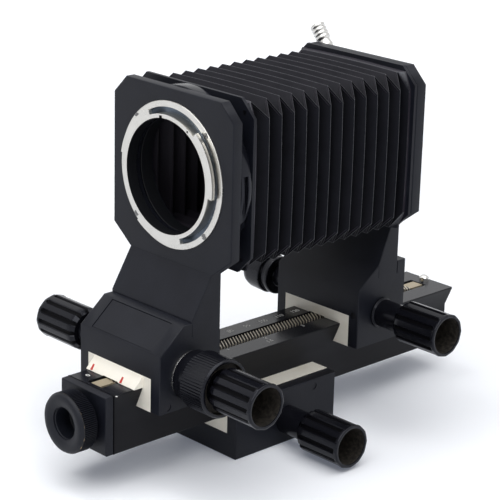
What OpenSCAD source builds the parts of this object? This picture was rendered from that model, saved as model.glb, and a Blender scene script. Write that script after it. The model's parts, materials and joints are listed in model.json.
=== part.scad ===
// Macro bellows unit: two standards and a folding bellows on a racked rail, with a tripod block.
// Millimetres. X to the right seen from the lens side, Y towards the camera, Z up.
// Origin: mouth of the tripod socket, in the middle of the block's underside.

/* [Rail] */
// Width of the rail across its top and bottom faces
rail_w = 29.2; // [27:0.1:32]
// Height of the rail
rail_h = 25.6; // [24:0.1:30]
// Width of the rail at its waist
waist_w = 21.7; // [18:0.1:23]
// Height of the upright land at each long corner of the rail
rail_land = 0.8; // [0.4:0.1:1.5]
// Depth of the dovetail, from the top face to the waist
dovetail_h = 9.4; // [8:0.1:10]
// Front end of the rail, measured from the tripod socket
rail_front_y = -87.6; // [-92:0.1:-84]
// Rear end of the rail
rail_rear_y = 119.6; // [118:0.1:130]
// Thickness of the front end plate
end_plate_t = 4; // [3:0.1:6]

/* [Racks and pinions] */
// Gear module of the racks and pinions
gear_module = 0.55; // [0.5:0.01:0.6]
// Teeth on each pinion
pinion_teeth = 19; // [17:1:20]
// Play between the teeth of a pinion and its rack
gear_play = 0.12; // [0.08:0.01:0.2]
// Width of the toothed bars
rack_w = 7.8; // [6:0.1:8.2]
// Height of the tooth tips above the rail's face
rack_rise = 0.2; // [0.1:0.05:0.5]
// Depth of the rail's groove under each toothed bar
rack_groove_d = 2.6; // [2:0.1:3.5]
// Width of the groove for each toothed bar
rack_groove_w = 9.2; // [8.6:0.1:9.6]
// Width of each pinion's teeth along its shaft
pinion_w = 8.4; // [7:0.1:9]
// Radius of the pinion shafts
shaft_r = 3; // [2.5:0.1:3.3]

/* [Liners] */
// Outer width of the nylon dovetail liners
liner_w = 40; // [38:0.1:42]
// Thickness of a liner over the rail's face
liner_back = 5.12; // [4.5:0.01:5.6]
// Height by which the liners stand proud of their castings
liner_proud = 0.25; // [0.1:0.05:0.5]
// Length of the index lip in front of the front liner
lip_l = 4.8; // [3:0.1:5.5]
// Width of the index lip
lip_w = 30.8; // [26:0.1:34]

/* [Tripod block] */
// Width of the block and of both standards' bases
base_w = 51; // [48:0.1:56]
// Length of the block along the rail
block_l = 59.8; // [50:0.1:70]
// Hole radius of the tripod thread, at the thread's crests
tripod_hole_r = 2.6; // [2.5:0.05:3]
// Depth of the tripod thread
tripod_hole_h = 4.8; // [4:0.1:7]
// Metal between the tripod thread and the pinion's room above it
thread_roof = 0.2; // [0.1:0.1:3]

/* [Standards] */
// Half width of the octagonal plates
plate_half_w = 36.6; // [35:0.1:39]
// Height of the lens axis above the rail's top
axis_h = 81.24; // [78:0.01:86]
// Top of the plates above the lens axis
plate_top_h = 36.1; // [35:0.1:40]
// Size of the plates' upper corner cuts
plate_corner = 7.6; // [6:0.1:9]
// Depth of the plates' lower corners below the lens axis
plate_low_h = 28.2; // [26:0.1:30]
// Depth below the lens axis at which the plates meet the neck
plate_neck_h = 36.7; // [35:0.1:39]
// Thickness of the front plate
front_plate_t = 5.05; // [4.5:0.05:6]
// Front face of the front plate
front_plate_y = -45.6; // [-47:0.1:-44]
// Length of the front standard's foot in front of its plate
front_foot_l = 27.2; // [24:0.1:28]
// Front face of the rear plate
rear_plate_y = 61.7; // [60:0.1:63]
// Thickness of the rear plate
rear_plate_t = 5.75; // [5:0.05:7]
// Front face of the rear standard's foot
rear_foot_front_y = 42.8; // [41:0.1:44]
// Rear face of the rear standard's foot
rear_foot_rear_y = 72.8; // [71:0.1:74]
// Small bevel along the castings' edges
edge = 0.5; // [0.3:0.1:0.8]
// Half width of the bare label plate on the front foot's slope
label_half_w = 18.8; // [14:0.1:21]
// Thickness of the label plate
label_t = 0.6; // [0.4:0.1:1]

/* [Lens mount] */
// Outer radius of the lens mount flange
flange_r = 31; // [30:0.1:32]
// Throat radius of the lens mount
throat_r = 24.2; // [23:0.1:24.5]
// Outer radius of the bayonet lip
lip_r = 25.9; // [25.4:0.1:26.2]
// Outer radius of the groove round the bayonet lip
groove_r = 28.4; // [27.8:0.1:28.8]
// How far the bayonet lip stands in front of the plate
lip_rise = 3.3; // [2.5:0.1:4]
// Angle covered by each bayonet lug
lug_angle = 58; // [45:1:65]
// Pitch circle radius of the mount screws
mount_screw_r = 29.6; // [29:0.1:30]
// Radius of the bellows hub behind the front plate
hub_r = 36.5; // [34:0.1:37.5]

/* [Bellows] */
// Number of folds
folds = 12; // [8:2:16]
// Half width of the folds' outer creases
ridge_half_w = 35; // [33:0.1:37]
// Half width of the folds' inner creases
valley_half_w = 27.6; // [26:0.1:30]
// Half width of the thin bellows frames
frame_half_w = 36.4; // [35:0.1:38]
// Thickness of the thin bellows frames
frame_t = 1.5; // [1:0.1:2.5]
// Front face of the front bellows frame
front_frame_y = -34.6; // [-36:0.1:-33]
// Wall of the folded leather, measured across the fold
cloth_t = 1.2; // [0.8:0.1:1.6]

/* [Knobs] */
// Radius of the ribbed knobs
knob_r = 9.5; // [8.5:0.1:10]
// Length of the ribbed knobs
knob_l = 24.5; // [20:0.1:28]
// Number of flutes round a ribbed knob
knob_flutes = 12; // [8:1:16]
// Radius of the hollow in a knob's end
knob_hollow_r = 7.8; // [6:0.1:8.2]
// Depth of the hollow in a knob's end
knob_hollow_l = 15; // [8:0.5:18]
// Outer radius of the bearing sleeves on the standards and the block
sleeve_r = 6.2; // [5.5:0.1:7]
// Length of the bearing sleeves
sleeve_l = 14.5; // [12:0.1:16]
// Radius of the knurled lock ring
lock_ring_r = 12.4; // [11.5:0.1:13]
// Length of the knurled lock ring
lock_ring_l = 14.2; // [12:0.1:16]
// Radius of the smooth lock knob
lock_knob_r = 9.6; // [9:0.1:12]
// Length of the smooth lock knobs' grip
lock_knob_l = 12; // [9:0.1:14]
// Length of the stem and flange behind the smooth lock knobs' grip
lock_stem_l = 15.7; // [13:0.1:17]

/* [Ends of the rail and the camera side] */
// Bore radius of the accessory rod socket
socket_bore_r = 6.6; // [5:0.1:7]
// Largest radius of the knurled clamp collar
collar_r = 12.9; // [12:0.1:14]
// Length of the knurled clamp collar
collar_l = 8.4; // [7:0.1:10]
// Radius of the spigot that enters the camera
spigot_r = 24; // [23.5:0.1:24.4]
// Radius of the dome stud at the rail's rear end
stud_r = 2.3; // [2:0.1:3]
// Swing of the camera clamp lever from upright, seen from the lens side
lever_angle = 38.5; // [30:0.5:45]

/* [Hidden] */
// Running clearances
slide_gap = 0.08;
spin_gap = 0.05;
ring_gap = 0.08;
face_gap = 0.3;

// Gears
pitch = PI * gear_module;
pinion_r = gear_module * pinion_teeth / 2;
tooth_addendum = 0.9 * gear_module;
tooth_dedendum = 1.25 * gear_module;
pressure_angle = 20;
pitch_line_h = rack_rise - tooth_addendum;
pinion_room_r = pinion_r + tooth_addendum + 0.35;
pinion_room_w = pinion_w + 1;
rack_room = 0.25;

// Heights
low_axis_z = tripod_hole_h + thread_roof + pinion_room_r;
rail_bottom_z = low_axis_z + pinion_r + pitch_line_h;
block_floor = rail_bottom_z - slide_gap - liner_back;
rail_top_z = rail_bottom_z + rail_h;
axis_z = rail_top_z + axis_h;
foot_z = rail_top_z - dovetail_h + liner_proud;
liner_low_z = rail_top_z - dovetail_h;
liner_top_z = rail_top_z + slide_gap + liner_back;
block_top_z = rail_bottom_z + dovetail_h - liner_proud;

// Depth to which the upper castings reach down into the feet
neck_sink = 6;

// Pinion axes
top_axis_z = rail_top_z + pitch_line_h + pinion_r;
front_axis_y = front_plate_y - front_foot_l + (front_foot_l + front_plate_t + 0.25) / 2;
rear_axis_y = (rear_foot_front_y + rear_foot_rear_y) / 2;

// Rack ends
top_rack_front_y = rail_front_y + 2.5;
top_rack_rear_y = rail_rear_y - 8;
rack_end_l = 8;
rack_nose_w = 5.8;
low_rack_front_y = -76;
low_rack_rear_y = 104;

// Feet and plates
half_base = base_w / 2;
front_foot_front_y = front_plate_y - front_foot_l;
front_foot_rear_y = front_plate_y + front_plate_t + 0.25;
front_plate_rear_y = front_plate_y + front_plate_t;
rear_plate_rear_y = rear_plate_y + rear_plate_t;
plate_neck_z = axis_z - plate_neck_h;
neck_top_z = plate_neck_z + 2;
neck_front_y = front_plate_y - 10.2;
slope_low = [front_foot_front_y, rail_top_z + 15.8];
slope_high = [front_plate_y - 14.5, rail_top_z + 26.6];
slope_angle = atan2(slope_high[1] - slope_low[1], slope_high[0] - slope_low[0]);
slope_l = norm(slope_high - slope_low);
rear_shoulder = [rear_foot_front_y + 12.1, rail_top_z + 27.3];
throat_room_r = lip_r + 0.3;
flange_back_y = front_plate_y + 2;
aperture_y = flange_back_y + 0.3;
aperture_t = 1.9;
hub_bore_r = throat_r + 0.6;

// Bellows
ridge_cut = 6.8;
valley_cut = 3;
frame_screw_at = frame_half_w - 5.6;
rear_frame_y = rear_plate_y - frame_t - 0.1;
bellows_front_y = front_frame_y + frame_t;
fold_l = (rear_frame_y - bellows_front_y) / (folds + 0.75);
bellows_mid_y = rear_frame_y - fold_l * folds / 2;

// Knobs and collars
washer_t = 1.1;
washer_r = lock_ring_r - 2.1;
lock_collar_t = 5.9;
knob_x = half_base + sleeve_l;
lock_ring_x = half_base + washer_t + lock_collar_t;
front_knob_x = lock_ring_x + lock_ring_l - 0.7;
lock_neck_r = 7.6;
lock_collar_r = lock_ring_r - 1.5;
knob_chamfer = 0.5;
screw_r = 1;
screw_head_r = 1.9;
screw_head_t = 0.7;
set_screw_r = 1.6;
set_screw_l = 2.8;
set_screw_recess = 0.3;
socket_z = (rail_top_z + rail_bottom_z) / 2;
socket_tube_l = 9.2;
socket_peg_r = 3;
socket_r = socket_bore_r + 2.9;
stud_y = rail_rear_y - 3.7;
stop_screw_y = rail_rear_y - 7;
plate_front_y = rail_front_y - end_plate_t;

// Camera side
mount_flange_r = 27.2;
mount_flange_t = 2;
clamp_ring_t = 6.2;
spigot_l = 4.2;
free_pin_r = spigot_r - 0.6;
bush_r = tripod_hole_r + 3.9;
lever_y = rear_plate_rear_y + 3.45;
lever_grip_r = 3.4;

// ---------- shared shapes ----------

// Solid along X with a (Y, Z) outline
module along_x(x0, x1) {
    translate([x0, 0, 0]) rotate([90, 0, 90]) linear_extrude(x1 - x0) children();
}

// Solid along Y with an (X, Z) outline
module along_y(y0, y1) {
    translate([0, y1, 0]) rotate([90, 0, 0]) linear_extrude(y1 - y0) children();
}

module rod_x(r, x0, x1, y, z) {
    translate([x0, y, z]) rotate([0, 90, 0]) cylinder(r = r, h = x1 - x0, $fn = 48);
}

module rod_y(r, y0, y1, x, z) {
    translate([x, y1, z]) rotate([90, 0, 0]) cylinder(r = r, h = y1 - y0, $fn = 64);
}

// Turned solid about an axis along Y; outline points are (radius, distance behind y)
module turned_y(y, z) {
    translate([0, y, z]) rotate([-90, 0, 0]) rotate_extrude($fn = 96) children();
}

// Turned solid about an axis along X; outline points are (radius, distance along X)
module turned_x(x, y, z) {
    translate([x, y, z]) rotate([0, 90, 0]) rotate_extrude($fn = 96) children();
}

// Copies children to the other side of the centre plane as well
module both_sides() {
    children();
    mirror([1, 0, 0]) children();
}

// Outline of the double dovetail rail, grown by a clearance
module rail_outline(gap) {
    half = rail_w / 2 + gap;
    waist = waist_w / 2 + gap;
    right = [
        [half, rail_bottom_z - gap], [half, rail_bottom_z + rail_land],
        [waist, rail_bottom_z + dovetail_h], [waist, rail_top_z - dovetail_h],
        [half, rail_top_z - rail_land], [half, rail_top_z + gap]
    ];
    left = [for (i = [len(right) - 1:-1:0]) [-right[i][0], right[i][1]]];
    polygon(concat(right, left));
}

// Octagon of a standard's plate, with its neck, drawn in by an inset
module plate_outline(inset) {
    half = plate_half_w - inset;
    top = axis_z + plate_top_h - inset;
    cut = plate_corner - 0.4 * inset;
    low = axis_z - plate_low_h + 0.4 * inset;
    neck = plate_neck_z + inset;
    polygon([
        [half - cut, top], [half, top - cut], [half, low], [half_base, neck],
        [-half_base, neck], [-half, low], [-half, top - cut], [-half + cut, top]
    ]);
}

// Plate with bevelled rims
module plate(y, thickness) {
    hull() {
        along_y(y + edge, y + thickness - edge) plate_outline(0);
        along_y(y, y + thickness) plate_outline(edge);
    }
}

// Convex prism across the base with bevelled ends; points are (Y, Z)
module bevelled_prism(points, inner_points) {
    hull() {
        along_x(-half_base + edge, half_base - edge) polygon(points);
        along_x(-half_base, half_base) polygon(inner_points);
    }
}

// Room for a liner and a pinion in a standard's foot
module foot_room(y, y0, y1) {
    along_y(y0 - 1, y1 + 1) liner_outline();
    rod_x(pinion_room_r, -pinion_room_w / 2, pinion_room_w / 2, y, top_axis_z);
    rod_x(shaft_r + spin_gap, -half_base - 1, half_base + 1, y, top_axis_z);
}

// Outer outline of a liner over the rail's top, open below
module liner_outline() {
    half = liner_w / 2;
    polygon([[-half, liner_low_z - 1], [half, liner_low_z - 1], [half, liner_top_z], [-half, liner_top_z]]);
}

// Nylon liner round the upper dovetail
module liner(y, y0, y1) {
    difference() {
        translate([-liner_w / 2, y0, liner_low_z]) cube([liner_w, y1 - y0, liner_top_z - liner_low_z]);
        along_y(y0 - 1, y1 + 1) rail_outline(slide_gap);
        rack_channel(y0 - 1, y1 + 1);
        rod_x(pinion_room_r, -pinion_room_w / 2, pinion_room_w / 2, y, top_axis_z);
        rod_x(shaft_r + ring_gap, -liner_w, liner_w, y, top_axis_z);
    }
}

// Channel that clears the top rack's teeth
module rack_channel(y0, y1) {
    half = rack_groove_w / 2 + rack_room;
    translate([-half, y0, rail_top_z - 1]) cube([2 * half, y1 - y0, 1 + rack_rise + rack_room]);
}

function flank_half(r) =
    let (base_r = pinion_r * cos(pressure_angle))
    let (a = r <= base_r ? 0 : acos(base_r / r))
    let (inv_a = tan(a) * 180 / PI - a)
    let (inv_p = tan(pressure_angle) * 180 / PI - pressure_angle)
    90 / pinion_teeth - gear_play / 4 / pinion_r * 180 / PI + inv_p - inv_a;

// Involute pinion outline with a tooth pointing straight down
module pinion_outline() {
    base_r = pinion_r * cos(pressure_angle);
    tip_r = pinion_r + tooth_addendum;
    root_r = pinion_r - tooth_dedendum;
    radii = [root_r, base_r, base_r + 0.25 * (tip_r - base_r), base_r + 0.5 * (tip_r - base_r), tip_r];
    last = len(radii) - 1;
    polygon([
        for (t = [0:pinion_teeth - 1], side = [-1, 1], k = [0:last])
            let (r = radii[side < 0 ? k : last - k])
            let (a = -90 + t * 360 / pinion_teeth + side * flank_half(max(r, base_r)))
            [r * cos(a), r * sin(a)]
    ]);
}

// Turn that brings a pinion at y into mesh with the rack above or below it
function mesh_turn(y) =
    let (offset = y / pitch - floor(y / pitch))
    -offset * 360 / pinion_teeth;

// Straight rack: tooth gaps lie at whole pitches from the origin; points are (Y, height over pitch line)
function rack_teeth(y0, y1) =
    let (first = ceil(y0 / pitch), last = floor(y1 / pitch) - 1)
    let (slant = tan(pressure_angle))
    let (half = pitch / 4 - gear_play / 4)
    [
        for (k = [first:last], p = [
            [-half - tooth_dedendum * slant, -tooth_dedendum], [-half + tooth_addendum * slant, tooth_addendum],
            [half - tooth_addendum * slant, tooth_addendum], [half + tooth_dedendum * slant, -tooth_dedendum]
        ]) [(k + 0.5) * pitch + p[0], p[1]]
    ];

// Toothed bar with plain ends, teeth up, its pitch line at z = 0
module rack(y0, y1, nose_w) {
    bottom = -pitch_line_h - rack_groove_d;
    root = -tooth_dedendum;
    difference() {
        union() {
            along_x(-rack_w / 2, rack_w / 2)
                polygon(concat(
                    [[y0 + rack_end_l, bottom], [y0 + rack_end_l, root]],
                    rack_teeth(y0 + rack_end_l, y1 - rack_end_l),
                    [[y1, root], [y1, bottom]]
                ));
            translate([-nose_w / 2, y0, bottom]) cube([nose_w, rack_end_l + 0.5, root - bottom]);
        }
        for (y = [y0 + rack_end_l / 2, y1 - rack_end_l / 2])
            translate([0, y, bottom - 1]) cylinder(r = screw_r, h = 10, $fn = 24);
    }
}

// Slotted screw; its head's top is at z = 0 and its shank points down
module screw(shank, head_r = screw_head_r, head_t = screw_head_t) {
    difference() {
        union() {
            translate([0, 0, -head_t]) cylinder(r = head_r, h = head_t, $fn = 32);
            translate([0, 0, -head_t - shank]) cylinder(r = screw_r, h = shank, $fn = 24);
        }
        translate([-head_r, -0.25, -0.35]) cube([2 * head_r, 0.5, 1]);
    }
}

// Hollow ended knob with flutes, its inner face at x, opening to +X
module ribbed_knob(x, y, z) {
    flute_r = 2.6;
    flute_at = knob_r + 1.9;
    flute_l = knob_l - 1;
    difference() {
        turned_x(x, y, z) polygon([
            [shaft_r, 0], [knob_r - 1.6, 0], [knob_r, 2.2], [knob_r, knob_l - knob_chamfer],
            [knob_r - knob_chamfer, knob_l], [knob_hollow_r, knob_l],
            [knob_hollow_r, knob_l - knob_hollow_l], [shaft_r, knob_l - knob_hollow_l]
        ]);
        for (k = [0:knob_flutes - 1])
            translate([x - 1, y, z]) rotate([(k + 0.5) * 360 / knob_flutes, 0, 0])
                translate([0, 0, flute_at]) rotate([0, 90, 0]) cylinder(r = flute_r, h = flute_l, $fn = 24);
    }
}

// Knurled rim outline: n shallow teeth on a circle
module knurl_outline(r, depth, n) {
    polygon([for (i = [0:2 * n - 1]) (r - (i % 2) * depth) * [cos(180 * i / n), sin(180 * i / n)]]);
}

// Bearing sleeve on the +X side of a casting
module sleeve(y, z, ring_r) {
    turned_x(half_base, y, z) polygon([
        [shaft_r + spin_gap, 0], [ring_r, 0], [ring_r, 1.2], [sleeve_r, 1.2],
        [sleeve_r, sleeve_l - face_gap], [shaft_r + spin_gap, sleeve_l - face_gap]
    ]);
}

// Clamping screw on the -X side, pressing from the cheek towards the rail
module lock_screw(y, z) {
    mirror([1, 0, 0]) rod_x(shaft_r, liner_w / 2 + 0.2, half_base + face_gap + lock_stem_l, y, z);
}

// Smooth knob on the -X side: stem, flange disc, groove and rounded grip
module lock_knob(y, z) {
    disc_r = lock_knob_r - 0.6;
    disc_x = lock_stem_l - 2.7;
    grip_x = lock_stem_l + 2.5;
    end_x = grip_x + lock_knob_l;
    mirror([1, 0, 0]) turned_x(half_base + face_gap, y, z) polygon([
        [shaft_r, 0], [5, 0], [5, disc_x], [disc_r - 0.5, disc_x + 0.2], [disc_r, disc_x + 0.7],
        [disc_r, lock_stem_l - 0.5], [disc_r - 0.5, lock_stem_l], [8.2, lock_stem_l], [8.2, grip_x],
        [lock_knob_r - 0.6, grip_x], [lock_knob_r, grip_x + 0.7], [lock_knob_r - 0.5, end_x - 3],
        [lock_knob_r - 1.3, end_x - 0.8], [lock_knob_r - 2.2, end_x], [0, end_x], [0, lock_stem_l],
        [shaft_r, lock_stem_l]
    ]);
}

// Pinion on its shaft, from x0 to x1
module pinion_shaft(x0, x1, y, z, turn) {
    along_x(-pinion_w / 2, pinion_w / 2)
        translate([y, z]) rotate(turn) pinion_outline();
    rod_x(shaft_r, x0, x1, y, z);
}

// Ring of the bellows: eight corners at half width w, drawn in by t
function bellows_ring(y, w, cut, t) =
    let (h = w - t, c = cut)
    [
        [h - c, y, h], [h, y, h - c], [h, y, -h + c], [h - c, y, -h],
        [-h + c, y, -h], [-h, y, -h + c], [-h, y, h - c], [-h + c, y, h]
    ];

// Folded tube between the creases given as (Y, half width, corner cut)
module folded_tube(creases) {
    n = len(creases);
    outer = [for (c = creases) each bellows_ring(c[0], c[1], c[2], 0)];
    inner = [for (c = creases) each bellows_ring(c[0], c[1], c[2] * 0.9, cloth_t)];
    walls = [
        for (i = [0:n - 2], k = [0:7])
            let (a = i * 8 + k, b = i * 8 + (k + 1) % 8, m = n * 8)
            each [[a, a + 8, b + 8], [a, b + 8, b], [m + a, m + b + 8, m + a + 8], [m + a, m + b, m + b + 8]]
    ];
    rims = [
        for (k = [0:7])
            let (j = (k + 1) % 8, m = n * 8, e = (n - 1) * 8)
            each [[k, j, m + j], [k, m + j, m + k], [e + k, m + e + j, e + j], [e + k, m + e + k, m + e + j]]
    ];
    translate([0, 0, axis_z]) polyhedron(concat(outer, inner), concat(walls, rims));
}

// ---------- tripod block ----------

module tripod_block() {
    half_l = block_l / 2;
    color("#2b2c2f") difference() {
        bevelled_prism(
            [[-half_l, edge], [-half_l + edge, 0], [half_l - edge, 0], [half_l, edge],
             [half_l, block_top_z], [-half_l, block_top_z]],
            [[-half_l + edge, edge], [half_l - edge, edge],
             [half_l - edge, block_top_z - edge], [-half_l + edge, block_top_z - edge]]
        );
        translate([-liner_w / 2, -half_l - 1, block_floor]) cube([liner_w, block_l + 2, block_top_z]);
        rod_x(pinion_room_r, -pinion_room_w / 2, pinion_room_w / 2, 0, low_axis_z);
        rod_x(shaft_r + spin_gap, -half_base - 1, half_base + 1, 0, low_axis_z);
        translate([0, 0, -1]) cylinder(r = bush_r, h = tripod_hole_h + 1, $fn = 64);
        block_set_screw_places(half_base + 1);
    }
}

// Set screw holes in the block's right cheek, out to x
module block_set_screw_places(x) {
    for (y = [-16.5, 16.5])
        rod_x(set_screw_r, half_base - set_screw_l, x, y, block_floor + 11);
}

module tripod_socket() {
    color("silver") difference() {
        cylinder(r = bush_r, h = tripod_hole_h, $fn = 64);
        translate([0, 0, -1]) cylinder(r = tripod_hole_r, h = tripod_hole_h + 2, $fn = 48);
    }
}

module block_liner() {
    half_l = block_l / 2;
    color("white") difference() {
        translate([-liner_w / 2, -half_l, block_floor])
            cube([liner_w, block_l, rail_bottom_z + dovetail_h - block_floor]);
        along_y(-half_l - 1, half_l + 1) rail_outline(slide_gap);
        translate([0, 0, rail_top_z + rail_bottom_z]) mirror([0, 0, 1])
            rack_channel(-half_l - 1, half_l + 1);
        rod_x(pinion_room_r, -pinion_room_w / 2, pinion_room_w / 2, 0, low_axis_z);
        rod_x(shaft_r + ring_gap, -liner_w, liner_w, 0, low_axis_z);
    }
}

module block_sleeve() {
    color("#1d1e20") sleeve(0, low_axis_z, sleeve_r);
}

module block_set_screws() {
    color("#303236") block_set_screw_places(half_base - set_screw_recess);
}

module block_pinion_shaft() {
    color("silver") pinion_shaft(-liner_w / 2, knob_x + knob_l - knob_hollow_l, 0, low_axis_z,
        180 - mesh_turn(0));
}

module block_knob() {
    color("#1d1e20") ribbed_knob(knob_x, 0, low_axis_z);
}

module end_screw(x, y, z) {
    translate([x, y, z]) rotate([0, 90, 0]) cylinder(r = 2.6, h = 1, $fn = 32);
}

module block_knob_screw() {
    color("#3a3c40") end_screw(knob_x + knob_l - knob_hollow_l, 0, low_axis_z);
}

module block_lock_screw() {
    color("silver") lock_screw(0, low_axis_z);
}

module block_lock_knob() {
    color("#1d1e20") lock_knob(0, low_axis_z);
}

// ---------- rail ----------

module rail() {
    groove_half = rack_groove_w / 2;
    color("#26272a") difference() {
        along_y(rail_front_y, rail_rear_y) rail_outline(0);
        translate([-groove_half, top_rack_front_y - 0.4, rail_top_z - rack_groove_d])
            cube([rack_groove_w, top_rack_rear_y - top_rack_front_y + 0.8, 10]);
        translate([-groove_half, low_rack_front_y - 0.4, rail_bottom_z + rack_groove_d - 10])
            cube([rack_groove_w, low_rack_rear_y - low_rack_front_y + 0.8, 10]);
        for (y = [top_rack_front_y + rack_end_l / 2, top_rack_rear_y - rack_end_l / 2])
            translate([0, y, rail_top_z - rack_groove_d - 5]) cylinder(r = screw_r, h = 10, $fn = 24);
        for (y = [low_rack_front_y + rack_end_l / 2, low_rack_rear_y - rack_end_l / 2])
            translate([0, y, rail_bottom_z - 5]) cylinder(r = screw_r, h = 5 + rack_groove_d + 5, $fn = 24);
        rod_y(socket_peg_r, rail_front_y - 1, rail_front_y + 14, 0, socket_z);
        translate([0, stud_y, rail_top_z - 4]) cylinder(r = 1.4, h = 8, $fn = 24);
        translate([0, stop_screw_y, rail_bottom_z - 1]) cylinder(r = 1.4, h = 6, $fn = 24);
    }
}

module top_rack() {
    color("#b59a72") translate([0, 0, rail_top_z + pitch_line_h])
        rack(top_rack_front_y, top_rack_rear_y, rack_nose_w);
}

module bottom_rack() {
    color("#b59a72") translate([0, 0, rail_bottom_z - pitch_line_h])
        mirror([0, 0, 1]) rack(low_rack_front_y, low_rack_rear_y, rack_w);
}

module rack_screws() {
    root_h = pitch_line_h - tooth_dedendum;
    color("silver") {
        for (y = [top_rack_front_y + rack_end_l / 2, top_rack_rear_y - rack_end_l / 2])
            translate([0, y, rail_top_z + root_h + 0.5]) screw(6, 1.7, 0.5);
        for (y = [low_rack_front_y + rack_end_l / 2, low_rack_rear_y - rack_end_l / 2])
            translate([0, y, rail_bottom_z - root_h - 0.5]) mirror([0, 0, 1]) screw(6, 1.7, 0.5);
    }
}

module front_end_plate() {
    half = rail_w / 2 - 0.1;
    color("#26272a") difference() {
        hull() {
            along_y(plate_front_y + edge, rail_front_y) square_outline(half, 0);
            along_y(plate_front_y, rail_front_y) square_outline(half, edge);
        }
        rod_y(socket_peg_r, plate_front_y - 1, rail_front_y + 1, 0, socket_z);
    }
}

module square_outline(half, inset) {
    polygon([
        [half - inset, rail_bottom_z + inset], [half - inset, rail_top_z - inset],
        [-half + inset, rail_top_z - inset], [-half + inset, rail_bottom_z + inset]
    ]);
}

module rod_socket() {
    y = plate_front_y - socket_tube_l;
    color("#3a3b3e") difference() {
        union() {
            rod_y(socket_r, y, plate_front_y, 0, socket_z);
            rod_y(socket_peg_r, plate_front_y - 0.5, rail_front_y + 13, 0, socket_z);
        }
        rod_y(socket_bore_r, y - 1, plate_front_y - 1.6, 0, socket_z);
    }
}

module stop_stud() {
    color("silver") {
        translate([0, stud_y, rail_top_z]) intersection() {
            cylinder(r = stud_r, h = 3, $fn = 48);
            translate([0, 0, 0.3]) sphere(r = 2.75, $fn = 48);
        }
        translate([0, stud_y, rail_top_z - 4]) cylinder(r = 1.4, h = 4, $fn = 24);
    }
}

module rail_stop_screw() {
    color("silver") {
        translate([0, stop_screw_y, rail_bottom_z - 2]) cylinder(r = 2.8, h = 2, $fn = 32);
        translate([0, stop_screw_y, rail_bottom_z]) cylinder(r = 1.4, h = 5, $fn = 24);
    }
}

module clamp_collar() {
    front = plate_front_y - socket_tube_l - 1.7;
    hole_r = socket_bore_r + 0.3;
    color("#232427") turned_y(front, socket_z) polygon([
        [hole_r, 1], [hole_r + 2.8, 0], [collar_r - 0.7, 0], [collar_r, 0.7],
        [collar_r, collar_l - 0.6], [collar_r - 0.6, collar_l], [socket_r + ring_gap, collar_l],
        [socket_r + ring_gap, 1.7 - ring_gap], [hole_r, 1.7 - ring_gap]
    ]);
}

// ---------- front standard ----------

// Plate, throat and neck, down to the foot's top
module front_standard() {
    low = slope_high[1] - neck_sink;
    front_top = slope_high[1] + 1.2;
    color("#2b2c2f") difference() {
        union() {
            plate(front_plate_y, front_plate_t);
            bevelled_prism(
                [[neck_front_y, low], [neck_front_y, front_top], [front_plate_y, plate_neck_z + 0.1],
                 [front_plate_y + 1, neck_top_z], [front_plate_rear_y, neck_top_z],
                 [front_plate_rear_y, low]],
                [[neck_front_y + edge, low], [neck_front_y + edge, front_top],
                 [front_plate_y + edge, plate_neck_z], [front_plate_y + 1.5, neck_top_z],
                 [front_plate_rear_y, neck_top_z], [front_plate_rear_y, low]]
            );
        }
        rod_y(throat_room_r, front_plate_y - 30, front_plate_rear_y + 1, 0, axis_z);
        rod_y(flange_r + ring_gap, front_plate_y - 5, flange_back_y, 0, axis_z);
        mount_screw_places() rod_y(screw_r, flange_back_y - 1, flange_back_y + 2.4, 0, 0);
    }
}

// Foot under the front plate, with the slope for the label plate
module front_foot() {
    top = slope_high[1];
    color("#2b2c2f") difference() {
        bevelled_prism(
            [[front_foot_front_y, foot_z], slope_low, slope_high, [front_foot_rear_y, top],
             [front_foot_rear_y, foot_z]],
            [[front_foot_front_y + edge, foot_z], slope_low + [edge, 0], slope_high - [-0.2, edge],
             [front_foot_rear_y, top - edge], [front_foot_rear_y, foot_z]]
        );
        neck_room(neck_front_y, front_foot_rear_y + 1, top);
        foot_room(front_axis_y, front_foot_front_y, front_foot_rear_y);
        both_sides() front_set_screw_hole(half_base + 1);
        label_room(0);
    }
}

// Step cut out of a foot whose top is at z, where the casting above it sits
module neck_room(y0, y1, z) {
    translate([-half_base - 1, y0, z - neck_sink]) cube([base_w + 2, y1 - y0, neck_sink + 2]);
}

// Shallow pocket across the slope for the bare label plate, shrunk by a gap
module label_room(gap) {
    translate([0, slope_low[0], slope_low[1]]) rotate([slope_angle, 0, 0])
        translate([-label_half_w + gap, 1.1 + gap, -label_t])
            cube([2 * (label_half_w - gap), slope_l - 2 - 2 * gap, gap > 0 ? label_t - 0.2 : 5]);
}

module label_plate() {
    color("#37383b") label_room(0.15);
}

module front_liner() {
    lip_half = lip_w / 2;
    low = rail_top_z + slide_gap;
    color("white") difference() {
        union() {
            liner(front_axis_y, front_foot_front_y, front_foot_rear_y);
            along_x(-lip_half, lip_half) polygon([
                [front_foot_front_y, liner_top_z], [front_foot_front_y - lip_l, low + 0.3],
                [front_foot_front_y - lip_l, low], [front_foot_front_y + 0.5, low],
                [front_foot_front_y + 0.5, liner_top_z]
            ]);
        }
        rack_channel(front_foot_front_y - lip_l - 1, front_foot_front_y + 2);
        along_y(front_foot_front_y - lip_l - 1, front_foot_front_y + 2) rail_outline(slide_gap);
    }
}

module mount_screw_places() {
    for (a = [45, 135, 225, 315])
        translate([mount_screw_r * cos(a), 0, axis_z + mount_screw_r * sin(a)]) children();
}

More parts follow.
